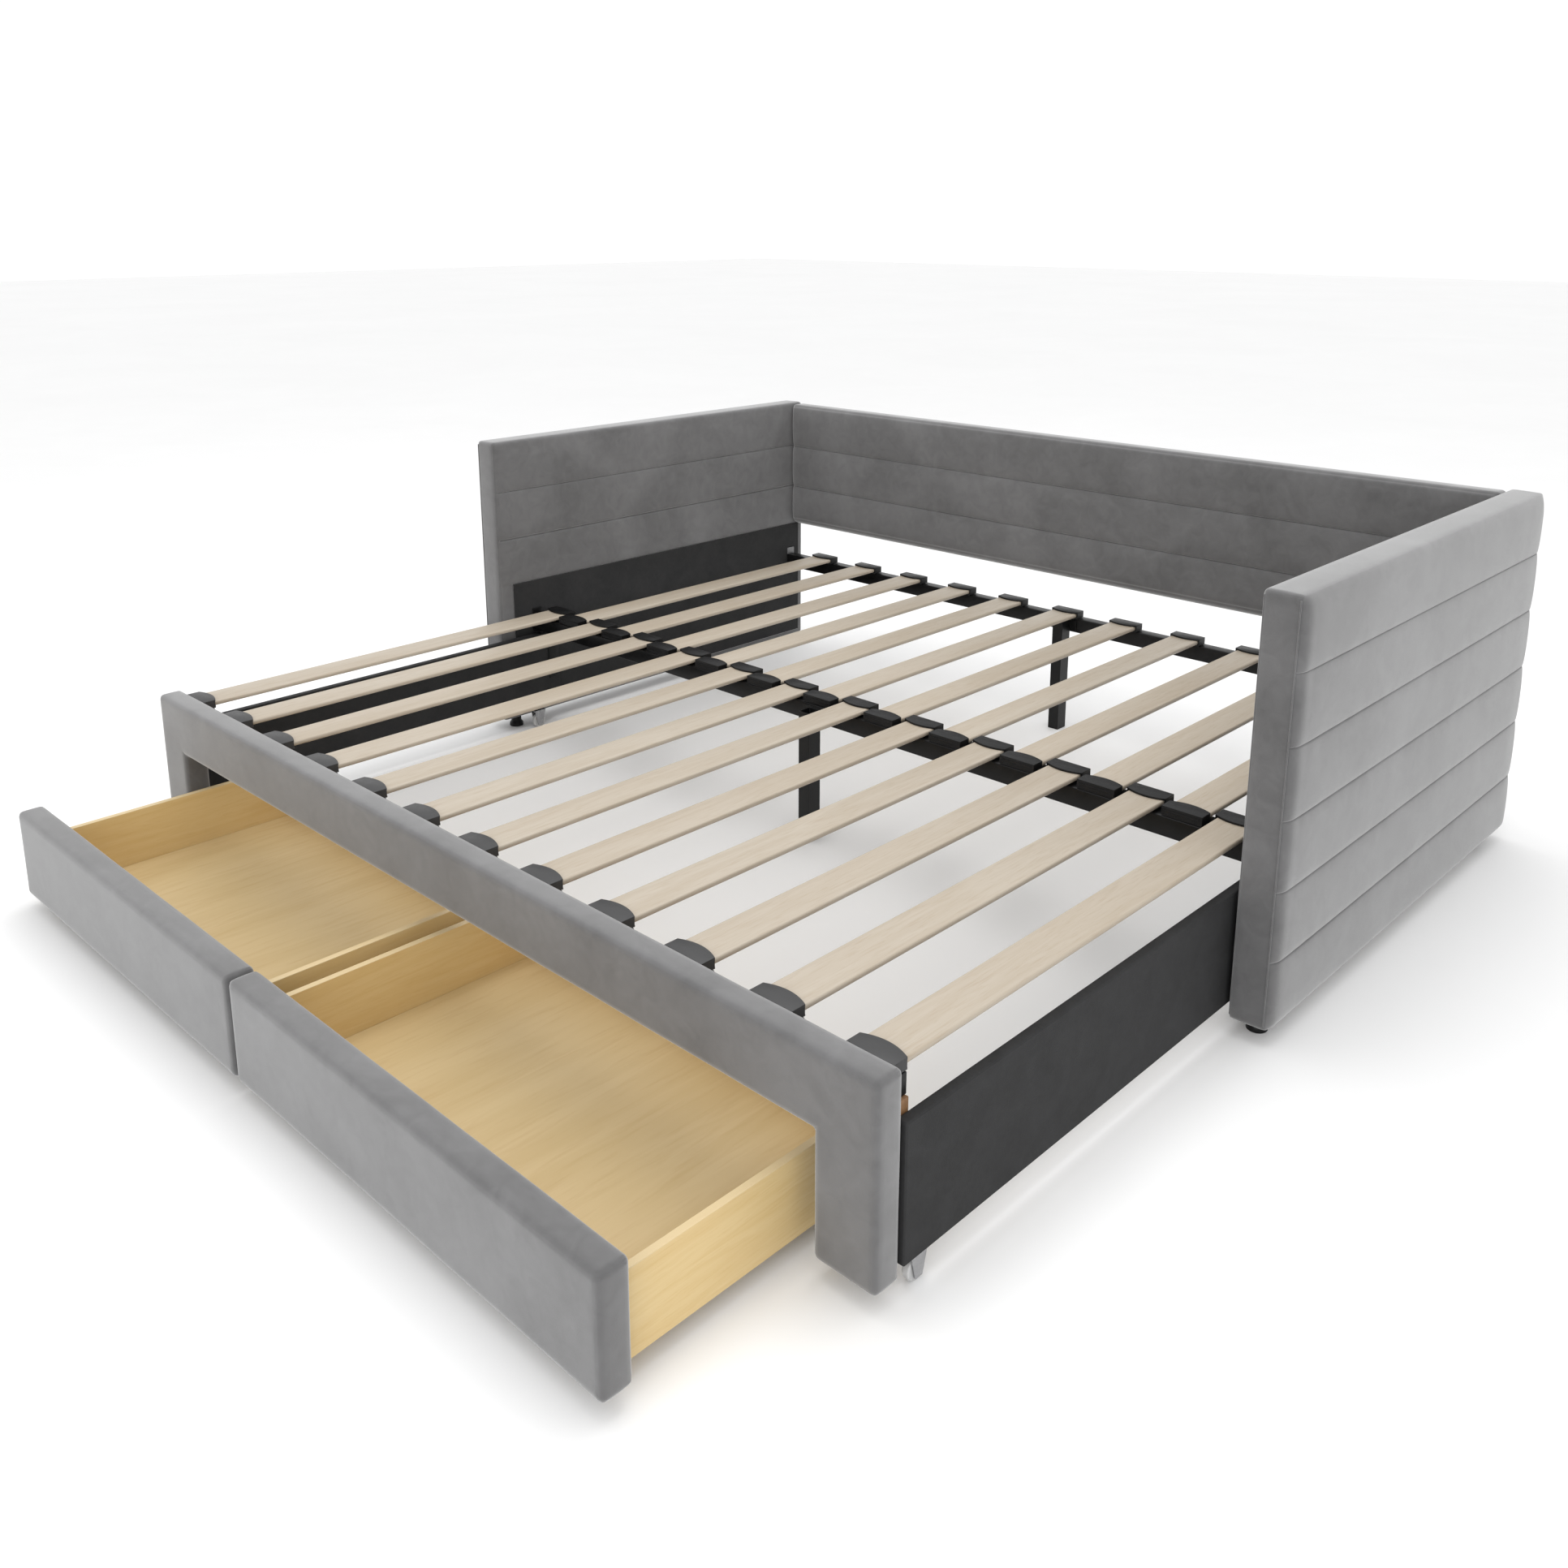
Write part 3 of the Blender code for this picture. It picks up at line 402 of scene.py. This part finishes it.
def cut_loops(bm, axis, places):
    """Cut edge loops right round a shape, square to an axis."""
    normal = Vector(tuple(float(i == axis) for i in range(3)))
    for place in places:
        bmesh.ops.bisect_plane(bm, geom=bm.verts[:] + bm.edges[:] + bm.faces[:], dist=SAME_PLACE,
                               plane_co=normal * place, plane_no=normal)


def round_sharp(bm, offset, segments=3, chosen=None):
    """Round the edges that `chosen` picks, or every sharp one."""
    edges = [e for e in bm.edges if len(e.link_faces) == 2
             and (chosen(e) if chosen else e.calc_face_angle() > math.radians(30))]
    bmesh.ops.bevel(bm, geom=edges, offset=offset, segments=segments, affect="EDGES",
                    profile=0.5, material=-1)


def crown(distance, reach):
    """A quarter-round rise from 0 at an edge to 1 at `reach` from it."""
    t = min(max(distance / reach, 0.0), 1.0)
    return math.sqrt(1 - (1 - t) ** 2)


def slope(distance, reach, turn=0.55):
    """A straight rise from 0 at an edge that turns flat, at 1, round about `reach` from it."""
    t = max(distance / reach, 0.0)
    blend = max(turn - abs(t - 1), 0.0) / turn
    return min(t, 1.0) - blend * blend * turn / 4


def channel(z, seams, bottom, top):
    """How far out a channel stands at a height: 0 at its seams, 1 along its middle."""
    marks = [bottom, *seams, top]
    for low, high in zip(marks, marks[1:]):
        if low <= z <= high:
            across = abs(2 * (z - low) / (high - low) - 1)
            return math.sqrt(max(1 - across ** 2.4, 0.0))
    return 0.0


def inflate(obj, allowed):
    """Swell a cover by pressure from inside; `allowed` says how far each point may move."""
    mesh = obj.data
    start = [v.co.copy() for v in mesh.vertices]
    normals = [v.normal.copy() for v in mesh.vertices]
    caps = [allowed(p) for p in start]
    held = obj.vertex_groups.new(name="held")
    held.add([i for i, cap in enumerate(caps) if cap == 0.0], 1.0, "REPLACE")
    sim = obj.modifiers.new("pressure", "CLOTH")
    sim.settings.vertex_group_mass = held.name
    sim.settings.use_pressure = True
    sim.settings.uniform_pressure_force = 4.0
    sim.settings.effector_weights.gravity = 0.0
    sim.settings.quality = 4
    sim.point_cache.frame_start = 1
    sim.point_cache.frame_end = 20
    scene = bpy.context.scene
    for step in range(1, 21):
        scene.frame_set(step)
    seen = obj.evaluated_get(bpy.context.evaluated_depsgraph_get())
    swollen = [v.co.copy() for v in seen.data.vertices]
    obj.modifiers.remove(sim)
    obj.vertex_groups.remove(held)
    for vert, rest, normal, moved, cap in zip(mesh.vertices, start, normals, swollen, caps):
        if cap < SAME_PLACE:
            continue
        outward = (moved - rest).dot(normal)
        swell = cap * (LEAST_FILL + (1 - LEAST_FILL) * math.tanh(max(outward, 0.0) / cap))
        sideways = moved - rest - normal * outward
        if sideways.length > MOST_SIDEWAYS:
            sideways *= MOST_SIDEWAYS / sideways.length
        vert.co = rest + normal * swell + sideways * min(cap / INNER_PUFF, 1.0)
    scene.frame_set(1)
    return start


def sew(obj, start, seams, axis_index, depth, on_face):
    """Pull a cover's seams in, with the fabric slightly gathered beside them."""
    mesh = obj.data
    normals = [v.normal.copy() for v in mesh.vertices]
    for vert, rest, normal in zip(mesh.vertices, start, normals):
        if not on_face(rest):
            continue
        away = min(abs(rest.z - seam) for seam in seams)
        if away < SEAM_SPREAD[0] * 0.6:
            vert.co -= normal * depth
        elif away < SEAM_SPREAD[-1] * 2:
            fade = 1 - away / (SEAM_SPREAD[-1] * 2)
            along = rest[axis_index]
            gather = noise.noise(Vector((along * 42, rest.z * 18, rest.x * 3)))
            vert.co += normal * gather * fade * 0.0005
    mesh.update()


def settle(obj, amount, reach):
    """Broad, shallow unevenness of a hand-stuffed cover."""
    mesh = obj.data
    for vert, normal in zip(mesh.vertices, [v.normal.copy() for v in mesh.vertices]):
        vert.co += normal * amount * noise.noise(vert.co * (1 / reach))
    mesh.update()


def add_subdivision(obj):
    modifier = obj.modifiers.new("smooth", "SUBSURF")
    modifier.levels = modifier.render_levels = 1


def mirrored_piece(source, name, body, stands_for):
    """The other side's copy of a finished cover."""
    bm = bmesh.new()
    bm.from_mesh(source.data)
    bmesh.ops.scale(bm, vec=(-1, 1, 1), verts=bm.verts)
    bmesh.ops.reverse_faces(bm, faces=bm.faces)
    piece = place_piece(name, bm, VELVET, body, stands_for, 180)
    piece.data.materials.clear()
    piece.data.materials.append(VELVET)
    add_subdivision(piece)
    return piece


def arm_covers():
    """The arms' covers: outer and inner channels, with a recess for the lining."""
    low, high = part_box("right_arm_cover")
    lining_low, lining_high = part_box("right_arm_lining")
    piping = high.x - ARM_SWELL
    inner = low.x + INNER_PUFF
    front, rear = low.y + FACE_PUFF, high.y - FACE_PUFF
    top = high.z - FACE_PUFF
    bm = bmesh.new()
    add_box(bm, (inner, front, low.z), (piping, rear, top))
    on_ring = lambda e: all(abs(v.co.x - piping) < SAME_PLACE for v in e.verts)
    round_sharp(bm, ARM_EDGE, 3, lambda e: not on_ring(e))
    round_sharp(bm, PIPING_EDGE, 1,
                lambda e: on_ring(e) and e.calc_face_angle() > math.radians(30))
    recess = (lining_low.y - HAIR, lining_high.y + HAIR, lining_low.z - HAIR, lining_high.z + HAIR)
    cut_loops(bm, 2, loops_between(low.z, top, OUTER_SEAMS))
    cut_loops(bm, 2, [*INNER_SEAMS, *(s + d * k for s in INNER_SEAMS for d in SEAM_SPREAD[1:3]
                                      for k in (-1, 1)), *recess[2:]])
    cut_loops(bm, 1, loops_between(front, rear) + list(recess[:2]))
    pocket = [f for f in bm.faces
              if all(abs(v.co.x - inner) < SAME_PLACE for v in f.verts)
              and recess[0] < f.calc_center_median().y < recess[1]
              and recess[2] < f.calc_center_median().z < recess[3]]
    pushed = bmesh.ops.extrude_face_region(bm, geom=pocket)["geom"]
    bmesh.ops.translate(bm, vec=(lining_high.x + HAIR / 2 - inner, 0, 0),
                        verts=[g for g in pushed if isinstance(g, bmesh.types.BMVert)])
    bmesh.ops.recalc_face_normals(bm, faces=bm.faces)

    def outer(p):
        return p.x > piping - SAME_PLACE

    for vert in bm.verts:
        p = vert.co
        if outer(p):
            p.x += (ARM_CROWN * slope(min(p.y - front, rear - p.y), ARM_EDGE_SLOPE)
                    * crown(top - p.z, ARM_TOP_SLOPE) * crown(p.z - low.z, ARM_FOOT_SLOPE))

    def allowed(p):
        if p.z < low.z + ARM_EDGE / 4:
            return 0.0
        if p.x > piping - PIPING_EDGE * 1.2:
            inward = min(p.y - front, rear - p.y, top - p.z)
            return (ARM_PUFF * channel(p.z, OUTER_SEAMS, low.z, top)
                    * crown(inward - PIPING_EDGE, ARM_EDGE_SLOPE))
        if p.x < inner + SAME_PLACE:
            if p.z < recess[3] + SAME_PLACE:
                return 0.0
            inward = min(p.y - front, rear - p.y) - ARM_EDGE
            return INNER_PUFF * (channel(p.z, INNER_SEAMS, recess[3], top - ARM_EDGE / 2)
                                 * crown(inward + 0.002, ARM_EDGE_SLOPE))
        if recess[0] - SAME_PLACE < p.y < recess[1] + SAME_PLACE and p.z < recess[3] + SAME_PLACE:
            return 0.0
        return FACE_PUFF

    right = place_piece("right_arm_upholstery", bm, VELVET, "daybed",
                        ("right_arm_cover",), 180)
    start = inflate(right, allowed)
    sew(right, start, OUTER_SEAMS, 1, SEAM_DEPTH, lambda p: p.x > piping)
    sew(right, start, INNER_SEAMS, 1, DEEP_SEAM,
        lambda p: p.x < inner + SAME_PLACE and p.z > recess[3] + 0.01)
    add_subdivision(right)
    left = mirrored_piece(right, "left_arm_upholstery", "daybed", ("left_arm_cover",))
    for side, name in ((1, "right"), (-1, "left")):
        arm_piping(side, name, (piping, inner + ARM_EDGE * 0.3), front, rear, low.z, top)
    return right, left


def arm_piping(side, name, lines, front, rear, bottom, top):
    """The welts of an arm: along its front and rear faces' outer edges, and their inner edges."""
    bm = bmesh.new()
    for x in lines:
        for y in (front, rear):
            inset = PIPING_RADIUS * (0.2 if x == lines[0] else 1.1)
            inset = inset if y == front else -inset
            place = Matrix.Translation((side * x, y + inset, (bottom + top) / 2))
            bmesh.ops.create_cone(bm, cap_ends=True, segments=10, radius1=PIPING_RADIUS,
                                  radius2=PIPING_RADIUS, depth=top - bottom - 2 * ARM_EDGE,
                                  matrix=place)
    place_piece(name + "_arm_piping", bm, VELVET, "daybed", (), 60)


def backrest_cover():
    """The backrest's cover: three channels on its face, rounded under at the bottom."""
    low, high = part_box("backrest_cover")
    front, rear = low.y + BACK_CROWN, high.y
    side = high.x - FACE_PUFF / 2
    top = high.z - FACE_PUFF
    bm = bmesh.new()
    add_box(bm, (-side, front, low.z), (side, rear, top))
    foot = lambda e: all(v.co.z < low.z + SAME_PLACE and v.co.y < front + SAME_PLACE
                         for v in e.verts)
    round_sharp(bm, BACK_FOOT_EDGE, 6, foot)
    round_sharp(bm, BACK_EDGE)
    cut_loops(bm, 2, loops_between(low.z, top, INNER_SEAMS))
    cut_loops(bm, 0, loops_between(-side, side))
    for vert in bm.verts:
        p = vert.co
        if p.y < front + SAME_PLACE:
            p.y -= (BACK_CROWN * crown(side - abs(p.x), BACK_CROWN_REACH)
                    * crown(top - p.z, BACK_CROWN_REACH) * crown(p.z - low.z, BACK_CROWN_REACH))

    def allowed(p):
        if p.y > rear - BACK_EDGE * 1.5:
            return 0.0
        face = max(1 - max(p.y - front, 0.0) / BACK_FOOT_EDGE, 0.0) ** 2
        return max(BACK_PUFF * channel(p.z, INNER_SEAMS, low.z, top) * face, FACE_PUFF / 3)

    cover = place_piece("backrest_upholstery", bm, VELVET, "daybed",
                        ("backrest_cover",), 180)
    start = inflate(cover, allowed)
    sew(cover, start, INNER_SEAMS, 0, DEEP_SEAM, lambda p: p.y < front + SAME_PLACE)
    add_subdivision(cover)
    sheet = bmesh.new()
    inset = 0.028
    add_box(sheet, (-side + inset, rear - 0.0004, low.z + inset),
            (side - inset, rear + 0.0008, top - inset), 0.0004, 1)
    place_piece("backrest_dust_cloth", sheet, LINING, "daybed")
    return cover


def block_cover(name, body, nodes, low, high, opening=None):
    """A plain padded cover on a board, with an opening in its lower edge if one is given."""
    inset = Vector((PAD_PUFF, PAD_PUFF, PAD_PUFF)) * 0.8
    a, b = low + inset, high - inset
    b.y = high.y
    bm = bmesh.new()
    bmesh.ops.create_grid(bm, x_segments=1, y_segments=1, size=0.5,
                          matrix=Matrix.Rotation(math.pi / 2, 4, "X"))
    bmesh.ops.scale(bm, vec=(b.x - a.x, 1, b.z - a.z), verts=bm.verts)
    bmesh.ops.translate(bm, vec=((a.x + b.x) / 2, a.y, (a.z + b.z) / 2), verts=bm.verts)
    if opening:
        half, height = opening[0] + inset.x, opening[1] + inset.z
        cut_loops(bm, 0, (-half, half))
        cut_loops(bm, 2, (height,))
        hole = [f for f in bm.faces if abs(f.calc_center_median().x) < half
                and f.calc_center_median().z < height]
        bmesh.ops.delete(bm, geom=hole, context="FACES")
    walls = bmesh.ops.extrude_face_region(bm, geom=bm.faces[:], use_keep_orig=True)["geom"]
    bmesh.ops.translate(bm, vec=(0, b.y - a.y, 0),
                        verts=[g for g in walls if isinstance(g, bmesh.types.BMVert)])
    bmesh.ops.recalc_face_normals(bm, faces=bm.faces)
    round_sharp(bm, PAD_EDGE)
    cut_loops(bm, 2, loops_between(a.z, b.z, (opening[1],) if opening else ()))
    cut_loops(bm, 0, loops_between(a.x, b.x, (-half, half) if opening else ()))

    def allowed(p):
        return 0.0 if p.y > b.y - PAD_EDGE * 0.6 else PAD_PUFF

    cover = place_piece(name, bm, VELVET, body, nodes, 180)
    inflate(cover, allowed)
    settle(cover, 0.0005, 0.16)
    add_subdivision(cover)
    return cover


# ---------------------------------------------------------------- slats, caps and rails
def slats():
    """Each slat, with rounded corners and long edges."""
    for node, (low, high) in ((n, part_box(n)) for n in sorted(frame["nodes"]) if "_slat_" in n):
        bm = bmesh.new()
        add_box(bm, low, high)
        upright = [e for e in bm.edges if abs(e.verts[0].co.z - e.verts[1].co.z) > SAME_PLACE]
        bmesh.ops.bevel(bm, geom=upright, offset=SLAT_CORNER, segments=5, affect="EDGES",
                        profile=0.5, material=-1)
        level = [e for e in bm.edges if abs(e.verts[0].co.z - e.verts[1].co.z) < SAME_PLACE]
        bmesh.ops.bevel(bm, geom=level, offset=SLAT_EDGE, segments=3, affect="EDGES",
                        profile=0.5, material=-1)
        place_piece(node + "_birch", bm, BIRCH, frame["nodes"][node]["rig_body"],
                    (node,))


def add_arc_plate(bm, half, reach, bottom, top, place):
    """A flat plate whose front edge is an arc; `place` moves and turns it."""
    corners = [bm.verts.new((half, 0, bottom)), bm.verts.new((-half, 0, bottom))]
    for step in range(CAP_ARC_STEPS + 1):
        t = 2 * step / CAP_ARC_STEPS - 1
        corners.append(bm.verts.new((half * t, reach + CAP_BULGE * (1 - t * t), bottom)))
    face = bm.faces.new(corners)
    made = bmesh.ops.extrude_face_region(bm, geom=[face], use_keep_orig=True)["geom"]
    lifted = [g for g in made if isinstance(g, bmesh.types.BMVert)]
    bmesh.ops.translate(bm, vec=(0, 0, top - bottom), verts=lifted)
    verts = corners + lifted
    bmesh.ops.recalc_face_normals(bm, faces=list({f for v in verts for f in v.link_faces}))
    rims = [e for e in {e for v in verts for e in v.link_edges}
            if e.calc_face_angle() > math.radians(50)]
    made = bmesh.ops.bevel(bm, geom=rims, offset=CAP_EDGE, segments=2, affect="EDGES",
                           profile=0.5, material=-1)
    grown = list({v for v in verts if v.is_valid} | {v for f in made["faces"] for v in f.verts})
    grown = list({w for v in grown for f in v.link_faces for w in f.verts})
    bmesh.ops.transform(bm, matrix=place, verts=grown)


def slat_caps(name, slats_held, back, facing, bottom, foot_top, body, mat=PLASTIC):
    """A row of caps on one end of some slats. They face +Y where `facing` is 1, and -Y where -1."""
    bm = bmesh.new()
    for node in slats_held:
        low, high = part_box(node)
        half = (high.x - low.x) / 2 + HAIR + CAP_WALL
        turn = Matrix.Rotation(0 if facing > 0 else math.pi, 4, "Z")
        place = Matrix.Translation(((low.x + high.x) / 2, back, 0)) @ turn
        reach = CAP_WALL + CAP_GRIP
        roof_low = high.z + HAIR
        floor_high = low.z - HAIR
        add_arc_plate(bm, half, reach, roof_low, roof_low + CAP_ROOF, place)
        add_arc_plate(bm, half, reach, bottom, floor_high, place)
        for side in (-1, 1):
            wall_x = sorted((side * half, side * (half - CAP_WALL)))
            before = set(bm.verts)
            add_box(bm, (wall_x[0], 0.0002, floor_high - 0.0008),
                    (wall_x[1], reach - 0.0004, roof_low + 0.0008), CAP_EDGE / 2, 1)
            bmesh.ops.transform(bm, matrix=place, verts=[v for v in bm.verts if v not in before])
        before = set(bm.verts)
        add_box(bm, (-half + 0.0004, 0.0004, floor_high - 0.0008),
                (half - 0.0004, CAP_WALL, roof_low + 0.0008), CAP_EDGE / 2, 1)
        middle = (floor_high + roof_low) / 2
        add_box(bm, (-half + 0.004, -0.0002, middle + 0.0012),
                (half - 0.004, CAP_WALL / 2, middle + 0.0028), CAP_EDGE / 2, 1)
        if foot_top is not None:
            add_box(bm, (-0.016, 0.004, foot_top), (0.016, 0.024, bottom + 0.0005), 0.0002, 1)
        bmesh.ops.transform(bm, matrix=place, verts=[v for v in bm.verts if v not in before])
    return place_piece(name, bm, mat, body)


def rail(name, node, front, body):
    """A steel tube with its end plates and shelves, as a piece that stands for a rail's node."""
    low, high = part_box(node)
    top = high.z - RAIL_UNDER_CAPS
    bottom = top - RAIL_HEIGHT
    rear = front + RAIL_WIDTH
    bm = bmesh.new()
    add_box(bm, (low.x + PLATE / 2, front, bottom), (high.x - PLATE / 2, rear, top), 0.0022, 3)
    for side in (-1, 1):
        face = high.x if side > 0 else -low.x
        plate_x = sorted((side * (face - PLATE), side * face))
        add_box(bm, (plate_x[0], front, low.z), (plate_x[1], rear, top), 0.0006, 2)
        shelf_x = sorted((side * (face - PLATE - SHELF), side * (face - PLATE / 2)))
        add_box(bm, (shelf_x[0], front, bottom - PLATE), (shelf_x[1], rear, bottom + 0.0004),
                0.0006, 2)
    return place_piece(name, bm, STEEL, body, (node,))


def rail_lugs(name, node, front, mat):
    """The lugs that stand above a fixed rail's ends, flat against the arms."""
    low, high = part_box(node)
    bm = bmesh.new()
    for x in (low.x, high.x - PLATE):
        add_box(bm, (x, front + 0.001, high.z - RAIL_UNDER_CAPS - 0.0004),
                (x + PLATE, front + RAIL_WIDTH - 0.001, high.z), 0.0006, 2)
    place_piece(name, bm, mat, "daybed")


def deck():
    """Rails, caps and the ledger, placed from the nodes that hold them as one."""
    moving = sorted(n for n in frame["nodes"] if n.startswith("moving_slat"))
    fixed = sorted(n for n in frame["nodes"] if n.startswith("fixed_slat"))
    slat_low, slat_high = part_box(moving[0])
    cap_bottom = slat_low.z - HAIR - CAP_FLOOR
    rail_top = slat_high.z + HAIR + CAP_ROOF - RAIL_UNDER_CAPS
    front_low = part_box("fixed_front_rail")[0]
    rear_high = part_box("fixed_rear_rail")[1]
    sliding_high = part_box("sliding_rail")[1]
    rail("fixed_front_rail_tube", "fixed_front_rail", front_low.y, "daybed")
    rail("fixed_rear_rail_tube", "fixed_rear_rail", rear_high.y - RAIL_WIDTH, "daybed")
    rail_lugs("fixed_front_rail_lugs", "fixed_front_rail", front_low.y, STEEL)
    rail_lugs("fixed_rear_rail_lugs", "fixed_rear_rail", rear_high.y - RAIL_WIDTH, DULL_PLATE)
    rail("sliding_rail_tube", "sliding_rail", sliding_high.y - RAIL_WIDTH, "pull_out")
    slat_caps("fixed_front_caps", fixed, front_low.y + CAP_BEHIND_RAIL, 1, cap_bottom,
              rail_top - 0.0004, "daybed")
    slat_caps("fixed_rear_caps", fixed, rear_high.y - REAR_CAP_INSET, -1, cap_bottom,
              rail_top - 0.0004, "daybed")
    slat_caps("moving_rear_caps", moving, sliding_high.y - CAP_BEHIND_RAIL, -1, cap_bottom,
              rail_top - 0.0004, "pull_out")
    ledger_low, ledger_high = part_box("slat_ledger")
    slat_caps("moving_front_holders", moving, ledger_low.y, 1, cap_bottom, None, "pull_out", HOLDER)
    bm = bmesh.new()
    for node in moving:
        low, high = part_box(node)
        half = (high.x - low.x) / 2 + HAIR + CAP_WALL + BLOCK_PAST_HOLDER
        middle = (low.x + high.x) / 2
        add_box(bm, (middle - half, ledger_low.y, LEDGER_TOP + HAIR),
                (middle + half, ledger_low.y + LEDGER_DEPTH + BLOCK_PAST_HOLDER, cap_bottom - HAIR),
                0.0012, 2)
        add_box(bm, (middle - half + 0.006, ledger_low.y + 0.004, cap_bottom - 0.0012),
                (middle + half - 0.006, ledger_low.y + LEDGER_DEPTH - 0.003, cap_bottom + 0.0006),
                0.0002, 1)
    place_piece("moving_front_holder_blocks", bm, PLASTIC, "pull_out")
    bm = bmesh.new()
    add_box(bm, ledger_low, (ledger_high.x, ledger_low.y + LEDGER_DEPTH, LEDGER_TOP), 0.001, 2)
    place_piece("ledger_board", bm, BROWN_BOARD, "pull_out", ("slat_ledger",))


# ---------------------------------------------------------------- build
covers = [*arm_covers(), backrest_cover()]
panel_low, panel_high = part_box("front_panel_cover")
covers.append(block_cover("front_panel_upholstery", "pull_out", ("front_panel_cover",), panel_low,
                          panel_high, (PANEL_OPENING_HALF, PANEL_OPENING_TOP)))
drawer_low, drawer_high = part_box("right_drawer_front")
right_front = block_cover("right_drawer_upholstery", "right_drawer", ("right_drawer_front",),
                          drawer_low, drawer_high)
covers.append(right_front)
covers.append(mirrored_piece(right_front, "left_drawer_upholstery", "left_drawer",
                             ("left_drawer_front",)))

slats()
deck()
for hand in ("left", "right"):
    eased(f"{hand}_arm_lining", LINING, 0.0008, 1)
    eased(f"{hand}_side_board", BOARD_CLOTH, 0.0016, 2)
    eased(f"{hand}_drawer_box", PINE_WALL, 0.0010, 2)
    eased(f"{hand}_drawer_base", PINE_BASE, 0.0005, 1)
    for end in ("front", "rear"):
        eased(f"castor_fork_{end}_{hand}", ZINC, 0.0005, 2)
        eased(f"castor_wheel_{end}_{hand}", WHEEL, 0.0004, 2)
        eased(f"levelling_foot_{end}_{hand}", PLASTIC, 0.0012, 2)
    core = frame["nodes"][f"{hand}_arm_core"]
    core.data.materials.clear()
    core.data.materials.append(CORE)
for node in ("middle_leg", "rear_leg"):
    eased(node, STEEL, 0.0006, 2)
for node in ("backrest_core", "front_panel_core"):
    frame["nodes"][node].data.materials.clear()
    frame["nodes"][node].data.materials.append(CORE)


# ---------------------------------------------------------------- stage, light and camera
def stage():
    """A pale floor and soft studio light, strongest from the front and the right."""
    bm = bmesh.new()
    bmesh.ops.create_grid(bm, x_segments=1, y_segments=1, size=30)
    mesh = bpy.data.meshes.new("floor")
    bm.to_mesh(mesh)
    bm.free()
    floor = bpy.data.objects.new("floor", mesh)
    bpy.context.scene.collection.objects.link(floor)
    mat, tree, shader, vector, _ = start_material("pale_floor", 0.7)
    patches = use_group(tree, MOTTLE, vector, Scale=0.6)["Patches"]
    tree.links.new(mix_node(tree, patches, (0.90, 0.90, 0.90), (0.92, 0.92, 0.92)),
                   shader.inputs["Base Color"])
    shader.inputs["Specular IOR Level"].default_value = 0.1
    mesh.materials.append(mat)
    world = bpy.data.worlds.new("studio")
    bpy.context.scene.world = world
    world.use_nodes = True
    sky = world.node_tree.nodes["Background"]
    sky.inputs["Color"].default_value = (1.0, 1.0, 1.0, 1.0)
    sky.inputs["Strength"].default_value = 1.05
    aim = Vector((0.2, -0.2, 0.3))
    for name, place, size, power in (("key", (2.6, -4.4, 1.9), 2.6, 55.0),
                                     ("top", (0.0, 0.2, 4.2), 3.0, 75.0)):
        light = bpy.data.lights.new(name, "AREA")
        light.shape = "SQUARE"
        light.size = size
        light.energy = power
        lamp = bpy.data.objects.new(name, light)
        bpy.context.scene.collection.objects.link(lamp)
        lamp.location = place
        lamp.rotation_euler = (aim - Vector(place)).to_track_quat("-Z", "Y").to_euler()
    bpy.context.scene.view_settings.view_transform = "Standard"


def camera():
    """A three-quarter view from the front right, level with the tops of the arms and above."""
    lens = bpy.data.cameras.new("view")
    lens.sensor_width = 36.0
    lens.lens = 32.515
    lens.shift_y = -0.1398
    eye = bpy.data.objects.new("view", lens)
    bpy.context.scene.collection.objects.link(eye)
    eye.location = (1.9594, -1.9874, 1.3306)
    eye.rotation_euler = (math.radians(90 - 13.893), 0.0, math.radians(44.006))
    bpy.context.scene.camera = eye


stage()
camera()
